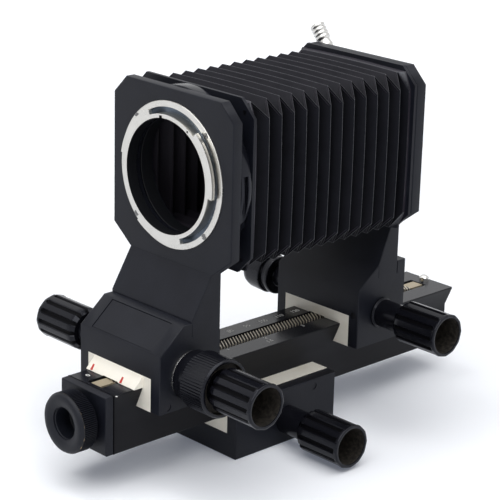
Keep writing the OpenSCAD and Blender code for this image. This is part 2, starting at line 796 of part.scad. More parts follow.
module lens_mount() {
    thick = flange_back_y - front_plate_y;
    groove_d = thick - 0.5;
    color("#c9c9c6") difference() {
        union() {
            turned_y(front_plate_y, axis_z) polygon([
                [throat_r, -lip_rise], [lip_r, -lip_rise], [lip_r, groove_d], [groove_r, groove_d],
                [groove_r, -0.5], [flange_r - 0.3, -0.5], [flange_r, -0.2], [flange_r, thick],
                [throat_r, thick]
            ]);
            for (a = [-7.4, 112.6, 232.6])
                translate([0, front_plate_y, axis_z]) rotate([-90, 0, 0]) rotate([0, 0, -a - lug_angle])
                    rotate_extrude(angle = lug_angle, $fn = 96)
                        polygon([
                            [lip_r - 0.4, -lip_rise], [groove_r - 0.2, -lip_rise],
                            [groove_r - 0.2, -lip_rise + 1.6], [lip_r - 0.4, -lip_rise + 1.6]
                        ]);
        }
        mount_screw_places() rod_y(screw_r, front_plate_y - 5, flange_back_y + 1, 0, 0);
        rotate_about_mount(97.5) translate([throat_r - 1, -lip_rise - 1, -0.9]) cube([2, 2.2, 1.8]);
        rotate_about_mount(58.7) translate([throat_r + 0.85, -lip_rise + 1.2, 0]) rotate([90, 0, 0])
            cylinder(r = 0.5, h = 3, $fn = 24);
    }
}

// Places children drawn at angle 0 of the mount at angle a, seen from the lens side
module rotate_about_mount(a) {
    translate([0, front_plate_y, axis_z]) rotate([0, -a, 0]) children();
}

module mount_screws() {
    color("silver") mount_screw_places() translate([0, front_plate_y - 0.7, 0]) rotate([90, 0, 0])
        rotate([0, 0, 30]) screw(4, 1.25, 0.2);
}

module aperture_ring() {
    color("#2a2b2e") {
        turned_y(aperture_y, axis_z) polygon([
            [throat_r + 0.3, 0], [throat_room_r - ring_gap, 0], [throat_room_r - ring_gap, aperture_t],
            [throat_r + 0.3, aperture_t]
        ]);
        translate([0, 0, axis_z]) rotate([0, 44, 0])
            translate([throat_r - 3.2, aperture_y, -0.9]) cube([4, aperture_t, 1.8]);
    }
}

module bellows_hub() {
    hub_l = front_frame_y - front_plate_rear_y;
    color("#232427") difference() {
        turned_y(front_plate_rear_y, axis_z) polygon([
            [hub_bore_r, 0], [hub_r - 0.5, 0], [hub_r, 0.5], [hub_r, hub_l - 0.5],
            [hub_r - 0.5, hub_l], [hub_bore_r, hub_l]
        ]);
        translate([hub_r - 2.5, front_plate_rear_y + 1.6, axis_z - 16]) cube([6, 2.4, 22]);
    }
}

// Thin octagonal frame that the leather is glued to
module thin_frame(y, thickness) {
    half = frame_half_w;
    cut = half - plate_corner;
    difference() {
        along_y(y, y + thickness) translate([0, axis_z]) polygon([
            [cut, half], [half, cut], [half, -cut], [cut, -half],
            [-cut, -half], [-half, -cut], [-half, cut], [-cut, half]
        ]);
        rod_y(valley_half_w - cloth_t - 0.4, y - 1, y + thickness + 1, 0, axis_z);
        frame_screw_places() rod_y(screw_r, y - 1, y + thickness + 1, 0, 0);
    }
}

module frame_screw_places() {
    for (x = [-1, 1], z = [-1, 1])
        translate([x * frame_screw_at, 0, axis_z + z * frame_screw_at]) children();
}

module front_frame() {
    color("#232427") thin_frame(front_frame_y, frame_t);
}

module frame_screws() {
    color("#3a3c40") {
        frame_screw_places() {
            translate([0, front_frame_y + frame_t + 0.6, 0]) rotate([-90, 0, 0])
                screw(frame_t + 0.02, 1.6, 0.6);
        }
    }
}

module front_washer() {
    color("silver") turned_x(half_base, front_axis_y, top_axis_z) polygon([
        [lock_neck_r + 0.2, 0], [washer_r, 0], [washer_r, washer_t - 0.2], [washer_r - 0.2, washer_t],
        [lock_neck_r + 0.2, washer_t]
    ]);
}

module lock_collar() {
    color("#1d1e20") turned_x(half_base, front_axis_y, top_axis_z) polygon([
        [shaft_r + spin_gap, 0], [lock_neck_r, 0], [lock_neck_r, washer_t],
        [lock_collar_r - 0.5, washer_t], [lock_collar_r, washer_t + 0.6],
        [lock_collar_r, washer_t + lock_collar_t - face_gap],
        [lock_neck_r, washer_t + lock_collar_t - face_gap],
        [lock_neck_r, washer_t + lock_collar_t + lock_ring_l - 3.6],
        [shaft_r + spin_gap, washer_t + lock_collar_t + lock_ring_l - 3.6]
    ]);
}

module lock_ring() {
    recess_r = knob_r + 1.2;
    color("#1d1e20") difference() {
        union() {
            along_x(lock_ring_x + 0.8, lock_ring_x + lock_ring_l - 0.8)
                translate([front_axis_y, top_axis_z]) knurl_outline(lock_ring_r, 0.35, 60);
            rod_x(lock_ring_r - 0.6, lock_ring_x, lock_ring_x + lock_ring_l, front_axis_y, top_axis_z);
        }
        rod_x(lock_neck_r + ring_gap, lock_ring_x - 1, lock_ring_x + lock_ring_l + 1, front_axis_y, top_axis_z);
        rod_x(recess_r, lock_ring_x + lock_ring_l - 2.6, lock_ring_x + lock_ring_l + 1, front_axis_y, top_axis_z);
    }
}

module front_sleeve() {
    color("#1d1e20") mirror([1, 0, 0]) sleeve(front_axis_y, top_axis_z, sleeve_r);
}

// Threaded hole for a set screw low in the front foot's cheek, out to x
module front_set_screw_hole(x) {
    rod_x(set_screw_r, half_base - set_screw_l, x, front_foot_front_y + 4.6, foot_z + 2.4);
}

module front_set_screws() {
    color("#303236") both_sides() front_set_screw_hole(half_base - set_screw_recess);
}

module front_pinion_shaft() {
    color("silver") pinion_shaft(-(knob_x + knob_l - knob_hollow_l), front_knob_x + knob_l - knob_hollow_l,
        front_axis_y, top_axis_z, mesh_turn(front_axis_y));
}

module front_knob_right() {
    color("#1d1e20") ribbed_knob(front_knob_x, front_axis_y, top_axis_z);
}

module front_knob_left() {
    color("#1d1e20") mirror([1, 0, 0]) ribbed_knob(knob_x, front_axis_y, top_axis_z);
}

module front_knob_screws() {
    color("#3a3c40") {
        end_screw(front_knob_x + knob_l - knob_hollow_l, front_axis_y, top_axis_z);
        mirror([1, 0, 0]) end_screw(knob_x + knob_l - knob_hollow_l, front_axis_y, top_axis_z);
    }
}

module bellows_front() {
    half_folds = folds / 2;
    ridge_y = bellows_mid_y - (half_folds - 0.5) * fold_l;
    color("#3c3833") folded_tube(concat(
        [[bellows_front_y, ridge_half_w - 2.4, ridge_cut], [ridge_y - fold_l / 2, valley_half_w, valley_cut]],
        [for (i = [0:half_folds - 1]) each [
            [ridge_y + i * fold_l, ridge_half_w, ridge_cut],
            [ridge_y + (i + 0.5) * fold_l, valley_half_w, valley_cut]
        ]]
    ));
}

// ---------- rear standard ----------

// Plate and neck, down to the foot's top
module rear_standard() {
    low = rear_shoulder[1] - neck_sink;
    front = rear_shoulder[0];
    color("#2b2c2f") difference() {
        union() {
            plate(rear_plate_y, rear_plate_t);
            bevelled_prism(
                [[front, low], rear_shoulder, [rear_plate_y - 0.3, plate_neck_z - 1.8],
                 [rear_plate_y, plate_neck_z], [rear_plate_rear_y, neck_top_z], [rear_plate_rear_y, low]],
                [[front + edge, low], [front + edge, rear_shoulder[1]],
                 [rear_plate_y - 0.3 + edge, plate_neck_z - 1.8], [rear_plate_y + edge, plate_neck_z],
                 [rear_plate_rear_y - edge, neck_top_z], [rear_plate_rear_y - edge, low]]
            );
        }
        rod_y(spigot_r - 2.6, rear_plate_y - 30, rear_plate_rear_y + 20, 0, axis_z);
    }
}

// Foot under the rear plate
module rear_foot() {
    step = rail_top_z + 18.5;
    top = rail_top_z + 27;
    front = rear_foot_front_y;
    color("#2b2c2f") difference() {
        bevelled_prism(
            [[front, foot_z], [front, step], rear_shoulder, [rear_plate_rear_y, top],
             [rear_foot_rear_y, top], [rear_foot_rear_y, foot_z]],
            [[front + edge, foot_z], [front + edge, step - 0.2], rear_shoulder - [0, edge],
             [rear_plate_rear_y, top - edge], [rear_foot_rear_y - edge, top - edge],
             [rear_foot_rear_y - edge, foot_z]]
        );
        neck_room(rear_shoulder[0], rear_plate_rear_y, rear_shoulder[1]);
        foot_room(rear_axis_y, rear_foot_front_y, rear_foot_rear_y);
        rear_set_screw_hole(rear_foot_front_y - 1);
    }
}

// Set screw hole in the rear foot's front face, out to y
module rear_set_screw_hole(y) {
    rod_y(set_screw_r, y, rear_foot_front_y + set_screw_l, half_base - 3.1, rail_top_z + 5.7);
}

module rear_liner() {
    color("white") liner(rear_axis_y, rear_foot_front_y, rear_foot_rear_y);
}

module rear_frame() {
    color("#232427") thin_frame(rear_frame_y, frame_t);
}

module bellows_rear() {
    half_folds = folds / 2;
    color("#3c3833") folded_tube(concat(
        [[bellows_mid_y, valley_half_w, valley_cut]],
        [for (i = [0:half_folds - 1]) each [
            [bellows_mid_y + (i + 0.5) * fold_l, ridge_half_w, ridge_cut],
            [bellows_mid_y + (i + 1) * fold_l, valley_half_w, valley_cut]
        ]]
    ));
}

module rear_sleeve() {
    color("#1d1e20") sleeve(rear_axis_y, top_axis_z, sleeve_r + 0.8);
}

module rear_set_screws() {
    color("#303236") rear_set_screw_hole(rear_foot_front_y + set_screw_recess);
}

module rear_pinion_shaft() {
    color("silver") pinion_shaft(-liner_w / 2, knob_x + knob_l - knob_hollow_l,
        rear_axis_y, top_axis_z, mesh_turn(rear_axis_y));
}

module rear_knob() {
    color("#1d1e20") ribbed_knob(knob_x, rear_axis_y, top_axis_z);
}

module rear_knob_screw() {
    color("#3a3c40") end_screw(knob_x + knob_l - knob_hollow_l, rear_axis_y, top_axis_z);
}

module rear_lock_screw() {
    color("silver") lock_screw(rear_axis_y, top_axis_z);
}

module rear_lock_knob() {
    color("#1d1e20") lock_knob(rear_axis_y, top_axis_z);
}

// ---------- camera side ----------

module camera_mount() {
    bore_r = spigot_r - 3.2;
    y = rear_plate_rear_y;
    color("silver") difference() {
        turned_y(y, axis_z) polygon([
            [bore_r, 0], [mount_flange_r, 0], [mount_flange_r, mount_flange_t], [spigot_r, mount_flange_t],
            [spigot_r, clamp_ring_t + 0.1], [free_pin_r, clamp_ring_t + 0.1],
            [free_pin_r, clamp_ring_t + spigot_l], [free_pin_r - 0.6, clamp_ring_t + spigot_l + 0.6],
            [bore_r, clamp_ring_t + spigot_l + 0.6]
        ]);
        camera_screw_places() rod_y(screw_r, y - 1, y + mount_flange_t + 1, 0, 0);
    }
}

module camera_screw_places() {
    r = (mount_flange_r + spigot_r) / 2;
    for (a = [0, 90, 180, 270])
        translate([r * cos(a), 0, axis_z + r * sin(a)]) children();
}

module camera_mount_screws() {
    color("silver") camera_screw_places()
        rod_y(screw_r, rear_plate_rear_y, rear_plate_rear_y + mount_flange_t, 0, 0);
}

module clamp_ring() {
    flange_top = mount_flange_t + face_gap;
    color("#b9babb") difference() {
        union() {
            turned_y(rear_plate_rear_y, axis_z) polygon([
                [mount_flange_r + ring_gap, face_gap], [flange_r, face_gap], [flange_r, clamp_ring_t],
                [spigot_r + 2.7, clamp_ring_t], [spigot_r + 2.7, flange_top + 2],
                [spigot_r + ring_gap, flange_top + 2], [spigot_r + ring_gap, flange_top],
                [mount_flange_r + ring_gap, flange_top]
            ]);
            lever_place() translate([0, 0, flange_r - 1]) cylinder(r = 2.8, h = 6, $fn = 32);
        }
        translate([0, 0, axis_z]) rotate([-90, 0, 0]) translate([0, 0, rear_plate_rear_y - 1])
            cylinder(r = mount_flange_r + ring_gap, h = 1 + flange_top, $fn = 96);
    }
}

// Places children drawn along +Z on the lever's radial line
module lever_place() {
    translate([0, lever_y, axis_z]) rotate([0, -lever_angle, 0]) children();
}

module clamp_lever() {
    foot = 36;
    cone = 43.5;
    grip = 46.6;
    ribs = 4;
    rib_l = 1.9;
    color("#d5d5d2") lever_place() rotate_extrude($fn = 48) polygon(concat(
        [[0, foot], [2.8, foot], [2.8, cone - 1], [3.1, cone], [2.6, grip - 0.5]],
        [for (i = [0:ribs - 1]) each [
            [lever_grip_r - 0.5, grip + i * rib_l], [lever_grip_r, grip + (i + 0.25) * rib_l],
            [lever_grip_r, grip + (i + 0.75) * rib_l], [lever_grip_r - 0.5, grip + (i + 1) * rib_l - 0.01]
        ]],
        [[lever_grip_r - 1.4, grip + ribs * rib_l + 0.3], [0, grip + ribs * rib_l + 0.5]]
    ));
}

module retaining_ring() {
    y = mount_flange_t + 2 * face_gap + 2;
    color("silver") turned_y(rear_plate_rear_y + y, axis_z) polygon([
        [spigot_r, 0], [spigot_r + 2.2, 0], [spigot_r + 2.2, 1], [spigot_r, 1]
    ]);
}

tripod_block();
tripod_socket();
block_liner();
block_sleeve();
block_set_screws();
block_pinion_shaft();
block_knob();
block_knob_screw();
block_lock_screw();
block_lock_knob();
rail();
top_rack();
bottom_rack();
rack_screws();
front_end_plate();
rod_socket();
stop_stud();
rail_stop_screw();
clamp_collar();
front_standard();
front_foot();
label_plate();
front_liner();
lens_mount();
mount_screws();
aperture_ring();
bellows_hub();
front_frame();
frame_screws();
front_washer();
lock_collar();
lock_ring();
front_sleeve();
front_set_screws();
front_pinion_shaft();
front_knob_right();
front_knob_left();
front_knob_screws();
bellows_front();
rear_standard();
rear_foot();
rear_liner();
rear_frame();
bellows_rear();
rear_sleeve();
rear_set_screws();
rear_pinion_shaft();
rear_knob();
rear_knob_screw();
rear_lock_screw();
rear_lock_knob();
camera_mount();
camera_mount_screws();
clamp_ring();
clamp_lever();
retaining_ring();
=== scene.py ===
# %% [markdown]
# # A macro bellows unit, dressed for its portrait
#
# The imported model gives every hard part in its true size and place. This lesson loads it, gives each
# part its finish, replaces the parts whose surface needs more shape than the solids hold, such as the
# folded leather and the fluted knobs, and lights the whole as small products are photographed.
#
# Everything is in metres, so a helper turns the maker's millimetres into metres once.

import json
import math

import bmesh
import bpy
from mathutils import Matrix, Vector


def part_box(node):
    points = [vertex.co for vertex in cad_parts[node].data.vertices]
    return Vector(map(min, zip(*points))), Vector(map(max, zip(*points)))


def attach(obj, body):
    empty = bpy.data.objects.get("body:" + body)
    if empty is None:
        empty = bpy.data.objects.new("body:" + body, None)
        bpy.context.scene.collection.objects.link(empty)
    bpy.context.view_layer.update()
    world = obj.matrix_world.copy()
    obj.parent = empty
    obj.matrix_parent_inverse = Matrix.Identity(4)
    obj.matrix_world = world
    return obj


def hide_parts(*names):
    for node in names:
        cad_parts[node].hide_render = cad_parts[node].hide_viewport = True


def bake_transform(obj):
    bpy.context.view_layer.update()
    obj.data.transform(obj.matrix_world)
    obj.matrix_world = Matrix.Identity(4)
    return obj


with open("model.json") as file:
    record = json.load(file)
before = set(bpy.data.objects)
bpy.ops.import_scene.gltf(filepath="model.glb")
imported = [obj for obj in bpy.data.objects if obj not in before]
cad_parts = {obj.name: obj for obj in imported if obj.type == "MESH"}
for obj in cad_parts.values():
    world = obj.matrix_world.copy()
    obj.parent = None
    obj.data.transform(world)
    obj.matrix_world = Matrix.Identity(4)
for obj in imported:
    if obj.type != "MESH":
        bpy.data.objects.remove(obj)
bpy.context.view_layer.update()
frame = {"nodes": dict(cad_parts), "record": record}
MM = 0.001


def mm(*values):
    """Millimetres to metres, as a vector for three numbers."""
    scaled = [value * MM for value in values]
    return Vector(scaled) if len(scaled) == 3 else scaled[0]


# %% [markdown]
# ## The camera first
#
# The camera was solved from the edges and corners of the unit in the photograph, by fitting a lens, a
# place and a small roll until the model's corners fell on the pictured ones. A long lens close to
# 135 mm explains how little the rear standard shrinks. The shift stays at zero.

# %% Camera
CAMERA_AT = mm(551.39, -531.63, 334.55)
CAMERA_LOOK = Vector((-0.68343, 0.65906, -0.31395)).normalized()
CAMERA_ROLL = math.radians(1.52)
LENS_MM = 135.06
SENSOR_MM = 36
UNIT_MIDDLE = mm(0, 0, 80)

level = CAMERA_LOOK.cross(Vector((0, 0, 1))).normalized()
rise = level.cross(CAMERA_LOOK)
right = math.cos(CAMERA_ROLL) * level + math.sin(CAMERA_ROLL) * rise
up = math.cos(CAMERA_ROLL) * rise - math.sin(CAMERA_ROLL) * level
camera_data = bpy.data.cameras.new("camera")
camera_data.lens = LENS_MM
camera_data.sensor_width = SENSOR_MM
camera = bpy.data.objects.new("camera", camera_data)
bpy.context.scene.collection.objects.link(camera)
camera.matrix_world = Matrix((right, up, -CAMERA_LOOK)).transposed().to_4x4()
camera.location = CAMERA_AT
bpy.context.scene.camera = camera
print("camera", round((CAMERA_AT - UNIT_MIDDLE).length, 3), "m from the unit")

# %% [markdown]
# ## Shader maths as sums
#
# A finish is a small calculation: where is the grain, how worn is this edge. Wiring Math nodes by hand
# hides that calculation, so a class wraps one socket and lets ordinary sums add the nodes.

# %% Sums on sockets
class Wire:
    """One output of a node; sums on it add Math nodes."""

    def __init__(self, graph, socket):
        self.graph = graph
        self.socket = socket

    def sum(self, operation, first, second):
        return self.graph.node("Math", {"operation": operation}, {0: first, 1: second})

    def __add__(self, other):
        return self.sum("ADD", self, other)

    def __sub__(self, other):
        return self.sum("SUBTRACT", self, other)

    def __rsub__(self, other):
        return self.sum("SUBTRACT", other, self)

    def __mul__(self, other):
        return self.sum("MULTIPLY", self, other)

    def __gt__(self, other):
        return self.sum("GREATER_THAN", self, other)

    def __lt__(self, other):
        """Python's reflected form of >, so that 1 > mask works."""
        return self.sum("LESS_THAN", self, other)

    __radd__ = __add__
    __rmul__ = __mul__


class Graph:
    """The nodes of a material, or of the world, all made by one method."""

    def __init__(self, name, owner=None, shader="Principled BSDF"):
        self.material = owner or bpy.data.materials.new(name)
        self.material.use_nodes = True
        self.tree = self.material.node_tree
        self.shader = self.tree.nodes[shader]

    def node(self, kind, settings=None, sockets=None, output=0):
        made = self.tree.nodes.new("ShaderNode" + kind)
        for name, value in (settings or {}).items():
            if name == "stops":
                set_stops(made.color_ramp, value)
            else:
                setattr(made, name, value)
        for key, value in (sockets or {}).items():
            if isinstance(value, Wire):
                self.tree.links.new(value.socket, made.inputs[key])
            else:
                made.inputs[key].default_value = value
        return Wire(self, made.outputs[output])

    def feed(self, **inputs):
        """Sets the shader's own sockets: numbers and colours directly, wires as links."""
        for name, value in inputs.items():
            target = self.shader.inputs[name.replace("_", " ")]
            if isinstance(value, Wire):
                self.tree.links.new(value.socket, target)
            else:
                target.default_value = value
        return self.material


def set_stops(ramp, stops):
    """Places a ramp's stops from (position, grey) pairs."""
    while len(ramp.elements) < len(stops):
        ramp.elements.new(0.5)
    for element, (position, grey) in zip(ramp.elements, stops):
        element.position = position
        element.color = (grey, grey, grey, 1)


print("sums on sockets ready")

# %% [markdown]
# ## Words for what finishes have in common
#
# Grain, blotches and brushed lines all start from noise on the object's own coordinates, in which one
# unit is a metre: a scale of 1000 gives features of a millimetre. A mask then mixes two colours or two
# roughnesses, and a Bump node turns a height into a shading normal.

# %% Shared steps of a finish
def colour(red, green, blue):
    return (red, green, blue, 1.0)


def here(graph):
    """The point being shaded, in the object's own metres."""
    return graph.node("TexCoord", output=3)


def place(graph, stretch=(1, 1, 1)):
    """The point being shaded, stretched along each axis."""
    return graph.node("VectorMath", {"operation": "MULTIPLY"}, {0: here(graph), 1: stretch})


def noise(graph, size_mm, detail, stretch=(1, 1, 1), roughness=0.5):
    """Soft noise from 0 to 1 whose features measure about size_mm."""
    return graph.node("TexNoise", None, {
        "Vector": place(graph, stretch), "Scale": 1 / (size_mm * MM), "Detail": detail,
        "Roughness": roughness,
    })


def blend_colour(graph, mask, low, high):
    """low where the mask is 0, high where it is 1."""
    return graph.node("Mix", {"data_type": "RGBA"}, {0: mask, 6: low, 7: high}, output=2)


def ramp(graph, value, stops):
    """Redraws a value along a curve of (from, to) stops."""
    return graph.node("ValToRGB", {"stops": stops}, {0: value})


def bump(graph, height, distance_mm, strength):
    """Shading normal of a height from 0 to 1 that stands distance_mm high."""
    return graph.node("Bump", None, {"Height": height, "Distance": distance_mm * MM, "Strength": strength})


finishes = {}
print("shader words ready")

# %% [markdown]
# ## Black paint on the castings
#
# The two standards and the tripod block are die castings with a satin black paint that holds a fine
# grain, so their highlights are broad and slightly sandy. Noise near a third of a millimetre makes the
# grain, and a slow blotch varies the sheen as handling does. The paint mirrors less than clear gloss
# does, so its specular level is low.

# %% Satin black paint
def satin_paint():
    graph = Graph("satin_black_paint")
    grain = noise(graph, 0.35, 3.0, roughness=0.6)
    tone_mask = noise(graph, 14, 2.0)
    specks = noise(graph, 0.9, 3.0, roughness=0.65)
    tone = ramp(graph, tone_mask * 0.55 + specks * 0.45, [(0.36, 0), (0.66, 1)])
    base = blend_colour(graph, tone, colour(0.0035, 0.0042, 0.0080), colour(0.0080, 0.0092, 0.0145))
    gloss = 0.40 + tone_mask * 0.08 + specks * 0.10
    return graph.feed(Base_Color=base, Roughness=gloss, Specular_IOR_Level=0.2,
                      Normal=bump(graph, grain, 0.020, 0.6))


finishes["black_paint"] = satin_paint()
print("castings wear", finishes["black_paint"].name)

# %% [markdown]
# ## Smooth black on the rail
#
# The rail is drawn bar with a thin, smooth black finish: the white liner and the red marks mirror in
# it. Its upright flanks are duller than its top, and darker: a copy of its black that mirrors less
# and paints their shade. One function makes both.

# %% Rail black
COOL_TINT = colour(0.86, 0.89, 1.0)


def rail_black(name, low, high, roughness, mirror):
    graph = Graph(name)
    drawn = noise(graph, 0.5, 3.0, stretch=(1, 0.02, 1))
    tone_mask = noise(graph, 20, 2.0)
    base = blend_colour(graph, tone_mask, colour(*low), colour(*high))
    gloss = roughness + tone_mask * 0.08 + drawn * 0.06
    return graph.feed(Base_Color=base, Roughness=gloss, Specular_IOR_Level=mirror,
                      Specular_Tint=COOL_TINT,
                      Normal=bump(graph, drawn, 0.004, 0.5))


finishes["black_anodised"] = rail_black("smooth_black_rail", (0.0050, 0.0055, 0.0085),
                                        (0.0100, 0.0108, 0.0150), 0.14, 0.24)
# The upright flanks get a darker, less mirroring copy of the rail black: painted shade.
shaded_rail_flank = rail_black("shaded_dull_rail_flank", (0.0048, 0.0048, 0.0058), (0.0100, 0.0098, 0.0110), 0.38, 0.15)
print("rail wears", finishes["black_anodised"].name, "and", shaded_rail_flank.name)

# %% [markdown]
# ## Enamel on the knobs, and what it leaves bare
#
# The knobs are turned and enamelled, the glossiest black on the unit, with faint turning lines. The
# bottoms of their flutes are dull and painted near black as shade, a thin rim of the turned rings is
# rubbed through to metal and carries a painted highlight, and their insides are bare and dusty. Each
# of these is a material of its own, given to faces later on.

# %% Knob enamel and flutes in painted shade
def knob_enamel():
    graph = Graph("glossy_black_enamel")
    turning = noise(graph, 0.3, 2.0, stretch=(1, 0.05, 0.05))
    tone_mask = noise(graph, 3, 4.0, roughness=0.6)
    base = blend_colour(graph, tone_mask, colour(0.0030, 0.0032, 0.0052), colour(0.0062, 0.0064, 0.0090))
    gloss = 0.17 + tone_mask * 0.14
    return graph.feed(Base_Color=base, Roughness=gloss, Specular_IOR_Level=0.21,
                      Specular_Tint=COOL_TINT,
                      Normal=bump(graph, turning, 0.005, 0.5))


def flute_black():
    """The bottom of the flutes, dull and painted near black as shade, which mirrors almost nothing."""
    graph = Graph("shaded_black_flutes")
    grain = noise(graph, 0.4, 2.0)
    base = blend_colour(graph, grain, colour(0.0010, 0.0010, 0.0015), colour(0.0024, 0.0024, 0.0034))
    return graph.feed(Base_Color=base, Roughness=0.45 + grain * 0.1, Specular_IOR_Level=0.04,
                      Normal=bump(graph, grain, 0.01, 0.5))


finishes["black_knob"] = knob_enamel()
flute_bottom = flute_black()
print("knobs wear", finishes["black_knob"].name, "over", flute_bottom.name)


# %% Worn rims with a painted highlight, and dusty insides
def worn_rim():
    """A rim whose black has rubbed through to metal here and there; its light metal is also a painted
    highlight.
    """
    graph = Graph("worn_rim")
    rubbed_and_highlit = ramp(graph, noise(graph, 2.2, 4.0, roughness=0.7), [(0.53, 0), (0.68, 1)])
    base = blend_colour(graph, rubbed_and_highlit, colour(0.010, 0.010, 0.011), colour(0.30, 0.22, 0.14))
    return graph.feed(Base_Color=base, Metallic=rubbed_and_highlit * 0.8, Roughness=0.42 - rubbed_and_highlit * 0.12,
                      Specular_IOR_Level=0.2)


def dusty_hollow():
    """The bare, oily brown inside of the knobs and of the lock ring."""
    graph = Graph("dusty_brown_hollow")
    dust = noise(graph, 1.6, 4.0, roughness=0.65)
    base = blend_colour(graph, ramp(graph, dust, [(0.38, 0), (0.72, 1)]),
                        colour(0.0085, 0.0075, 0.0068), colour(0.046, 0.040, 0.033))
    return graph.feed(Base_Color=base, Roughness=0.55 + dust * 0.2, Specular_IOR_Level=0.2,
                      Normal=bump(graph, dust, 0.03, 0.5))


rubbed_highlit_rim = worn_rim()
hollow = dusty_hollow()
print("rims and insides wear", rubbed_highlit_rim.name, "and", hollow.name)

# %% [markdown]
# ## White nylon and plain metals
#
# Nylon liners are cut from a white block, which leaves very faint saw lines. The lens mount is turned
# alloy under satin chrome: turning lines run round the lens axis, so its noise is drawn in the
# distance from that axis. The throat behind it is matt black, and its rings follow each other along
# the axis. Screws, studs and the lever are plain drawn steel, bright or blackened.

# %% Nylon
def nylon():
    graph = Graph("white_nylon")
    saw = noise(graph, 0.6, 2.0, stretch=(1, 0.1, 1))
    age = noise(graph, 9, 3.0)
    base = blend_colour(graph, ramp(graph, age, [(0.45, 0), (0.8, 1)]),
                        colour(0.87, 0.835, 0.75), colour(0.81, 0.765, 0.665))
    return graph.feed(Base_Color=base, Roughness=0.42 + saw * 0.1, Normal=bump(graph, saw, 0.01, 0.5))


finishes["white_nylon"] = nylon()
print("liners wear", finishes["white_nylon"].name)

# %% Turned metal
AXIS_Z = 122.84


def from_lens_axis(graph):
    """Distance from the lens axis, in metres."""
    offset = graph.node("VectorMath", {"operation": "SUBTRACT"}, {0: here(graph), 1: (0, 0, AXIS_Z * MM)})
    flat = graph.node("VectorMath", {"operation": "MULTIPLY"}, {0: offset, 1: (1, 0, 1)})
    return graph.node("VectorMath", {"operation": "LENGTH"}, {0: flat}, output=1)


def turned_metal(name, low, high, roughness, height_mm=0.006):
    graph = Graph(name)
    radius = from_lens_axis(graph)
    rings = graph.node("TexNoise", {"noise_dimensions": "1D"}, {"W": radius, "Scale": 6000, "Detail": 3.0})
    worn = noise(graph, 5, 3.0)
    base = blend_colour(graph, worn, colour(*low), colour(*high))
    return graph.feed(Base_Color=base, Metallic=1.0, Roughness=roughness + worn * 0.1 + rings * 0.08,
                      Normal=bump(graph, rings, height_mm, 0.5))


finishes["bright_alloy"] = turned_metal("satin_turned_alloy", (0.52, 0.51, 0.48), (0.62, 0.61, 0.58), 0.2)
# The groove behind the lugs is turned metal darkened as painted shade.
shaded_groove_metal = turned_metal("shaded_turned_groove", (0.075, 0.095, 0.125), (0.13, 0.155, 0.19), 0.22, 0.05)
print("lens mount wears", finishes["bright_alloy"].name, "and", shaded_groove_metal.name)


# %% Throat
def throat_black():
    """Matt black inside the lens mount, with the fine rings that a lathe leaves."""
    graph = Graph("matt_black_throat")
    rings = graph.node("TexNoise", {"noise_dimensions": "1D"},
                       {"W": graph.node("SeparateXYZ", None, {0: here(graph)}, output=1),
                        "Scale": 1600, "Detail": 2.0})
    base = blend_colour(graph, rings, colour(0.0022, 0.0025, 0.0034), colour(0.0085, 0.0092, 0.0115))
    return graph.feed(Base_Color=base, Roughness=0.42 + rings * 0.15, Specular_IOR_Level=0.14,
                      Normal=bump(graph, rings, 0.09, 0.7))


throat = throat_black()
print("throat wears", throat.name)


# %% Plain metal
def plain_metal(name, low, high, roughness):
    graph = Graph(name)
    lines = noise(graph, 0.4, 2.0, stretch=(0.08, 1, 1))
    worn = noise(graph, 3, 3.0)
    base = blend_colour(graph, worn, colour(*low), colour(*high))
    return graph.feed(Base_Color=base, Metallic=1.0, Roughness=roughness + worn * 0.12,
                      Normal=bump(graph, lines, 0.004, 0.5))


finishes["bright_steel"] = plain_metal("bright_steel", (0.56, 0.555, 0.54), (0.66, 0.655, 0.64), 0.2)
finishes["dark_steel"] = plain_metal("dark_steel", (0.014, 0.014, 0.017), (0.035, 0.035, 0.040), 0.38)
grey_steel = plain_metal("grey_screw_steel", (0.13, 0.13, 0.13), (0.20, 0.20, 0.20), 0.3)
print("fasteners wear", finishes["bright_steel"].name, "or", finishes["dark_steel"].name)

# %% [markdown]
# ## Rack teeth
#
# The toothed bars are nickelled strip. Only the tips of the teeth stay bright: the spaces between them
# are painted near black, as painted shade. The top bar's teeth are cut at a slant, so a value that
# swings between 0 in each space and 1 on each tip runs along the rail and drifts across it. The ends
# of the bars are plain.

# %% Toothed bar
TOOTH_PITCH = 0.55 * math.pi
RACK_MIDDLE_Y = 13.25
TOOTHED_REACH = 90.3
TOOTH_SLANT = 0.61


def toothed_bar():
    graph = Graph("nickelled_rack")
    slanted = graph.node("VectorMath", {"operation": "DOT_PRODUCT"},
                         {0: here(graph), 1: (TOOTH_SLANT, 1, 0)}, output=1)
    along = graph.node("SeparateXYZ", None, {0: here(graph)}, output=1)
    tooth = slanted.sum("PINGPONG", slanted, 0.5 * TOOTH_PITCH * MM) * (2 / (TOOTH_PITCH * MM))
    offset = along - RACK_MIDDLE_Y * MM
    plain_end = offset.sum("ABSOLUTE", offset, 0.0) > TOOTHED_REACH * MM
    tip = ramp(graph, tooth, [(0.62, 0), (0.72, 1)])
    worn = noise(graph, 1.2, 3.0)
    bright = blend_colour(graph, worn, colour(0.52, 0.46, 0.36), colour(0.80, 0.74, 0.62))
    # The spaces between the teeth are near black: painted shade.
    shaded_teeth = blend_colour(graph, tip, colour(0.030, 0.024, 0.020), bright)
    base = blend_colour(graph, plain_end, shaded_teeth, colour(0.40, 0.34, 0.24))
    return graph.feed(Base_Color=base, Metallic=0.35, Roughness=0.38 + worn * 0.15,
                      Normal=bump(graph, worn, 0.01, 0.5))


finishes["rack_brass"] = toothed_bar()
print("racks wear", finishes["rack_brass"].name)
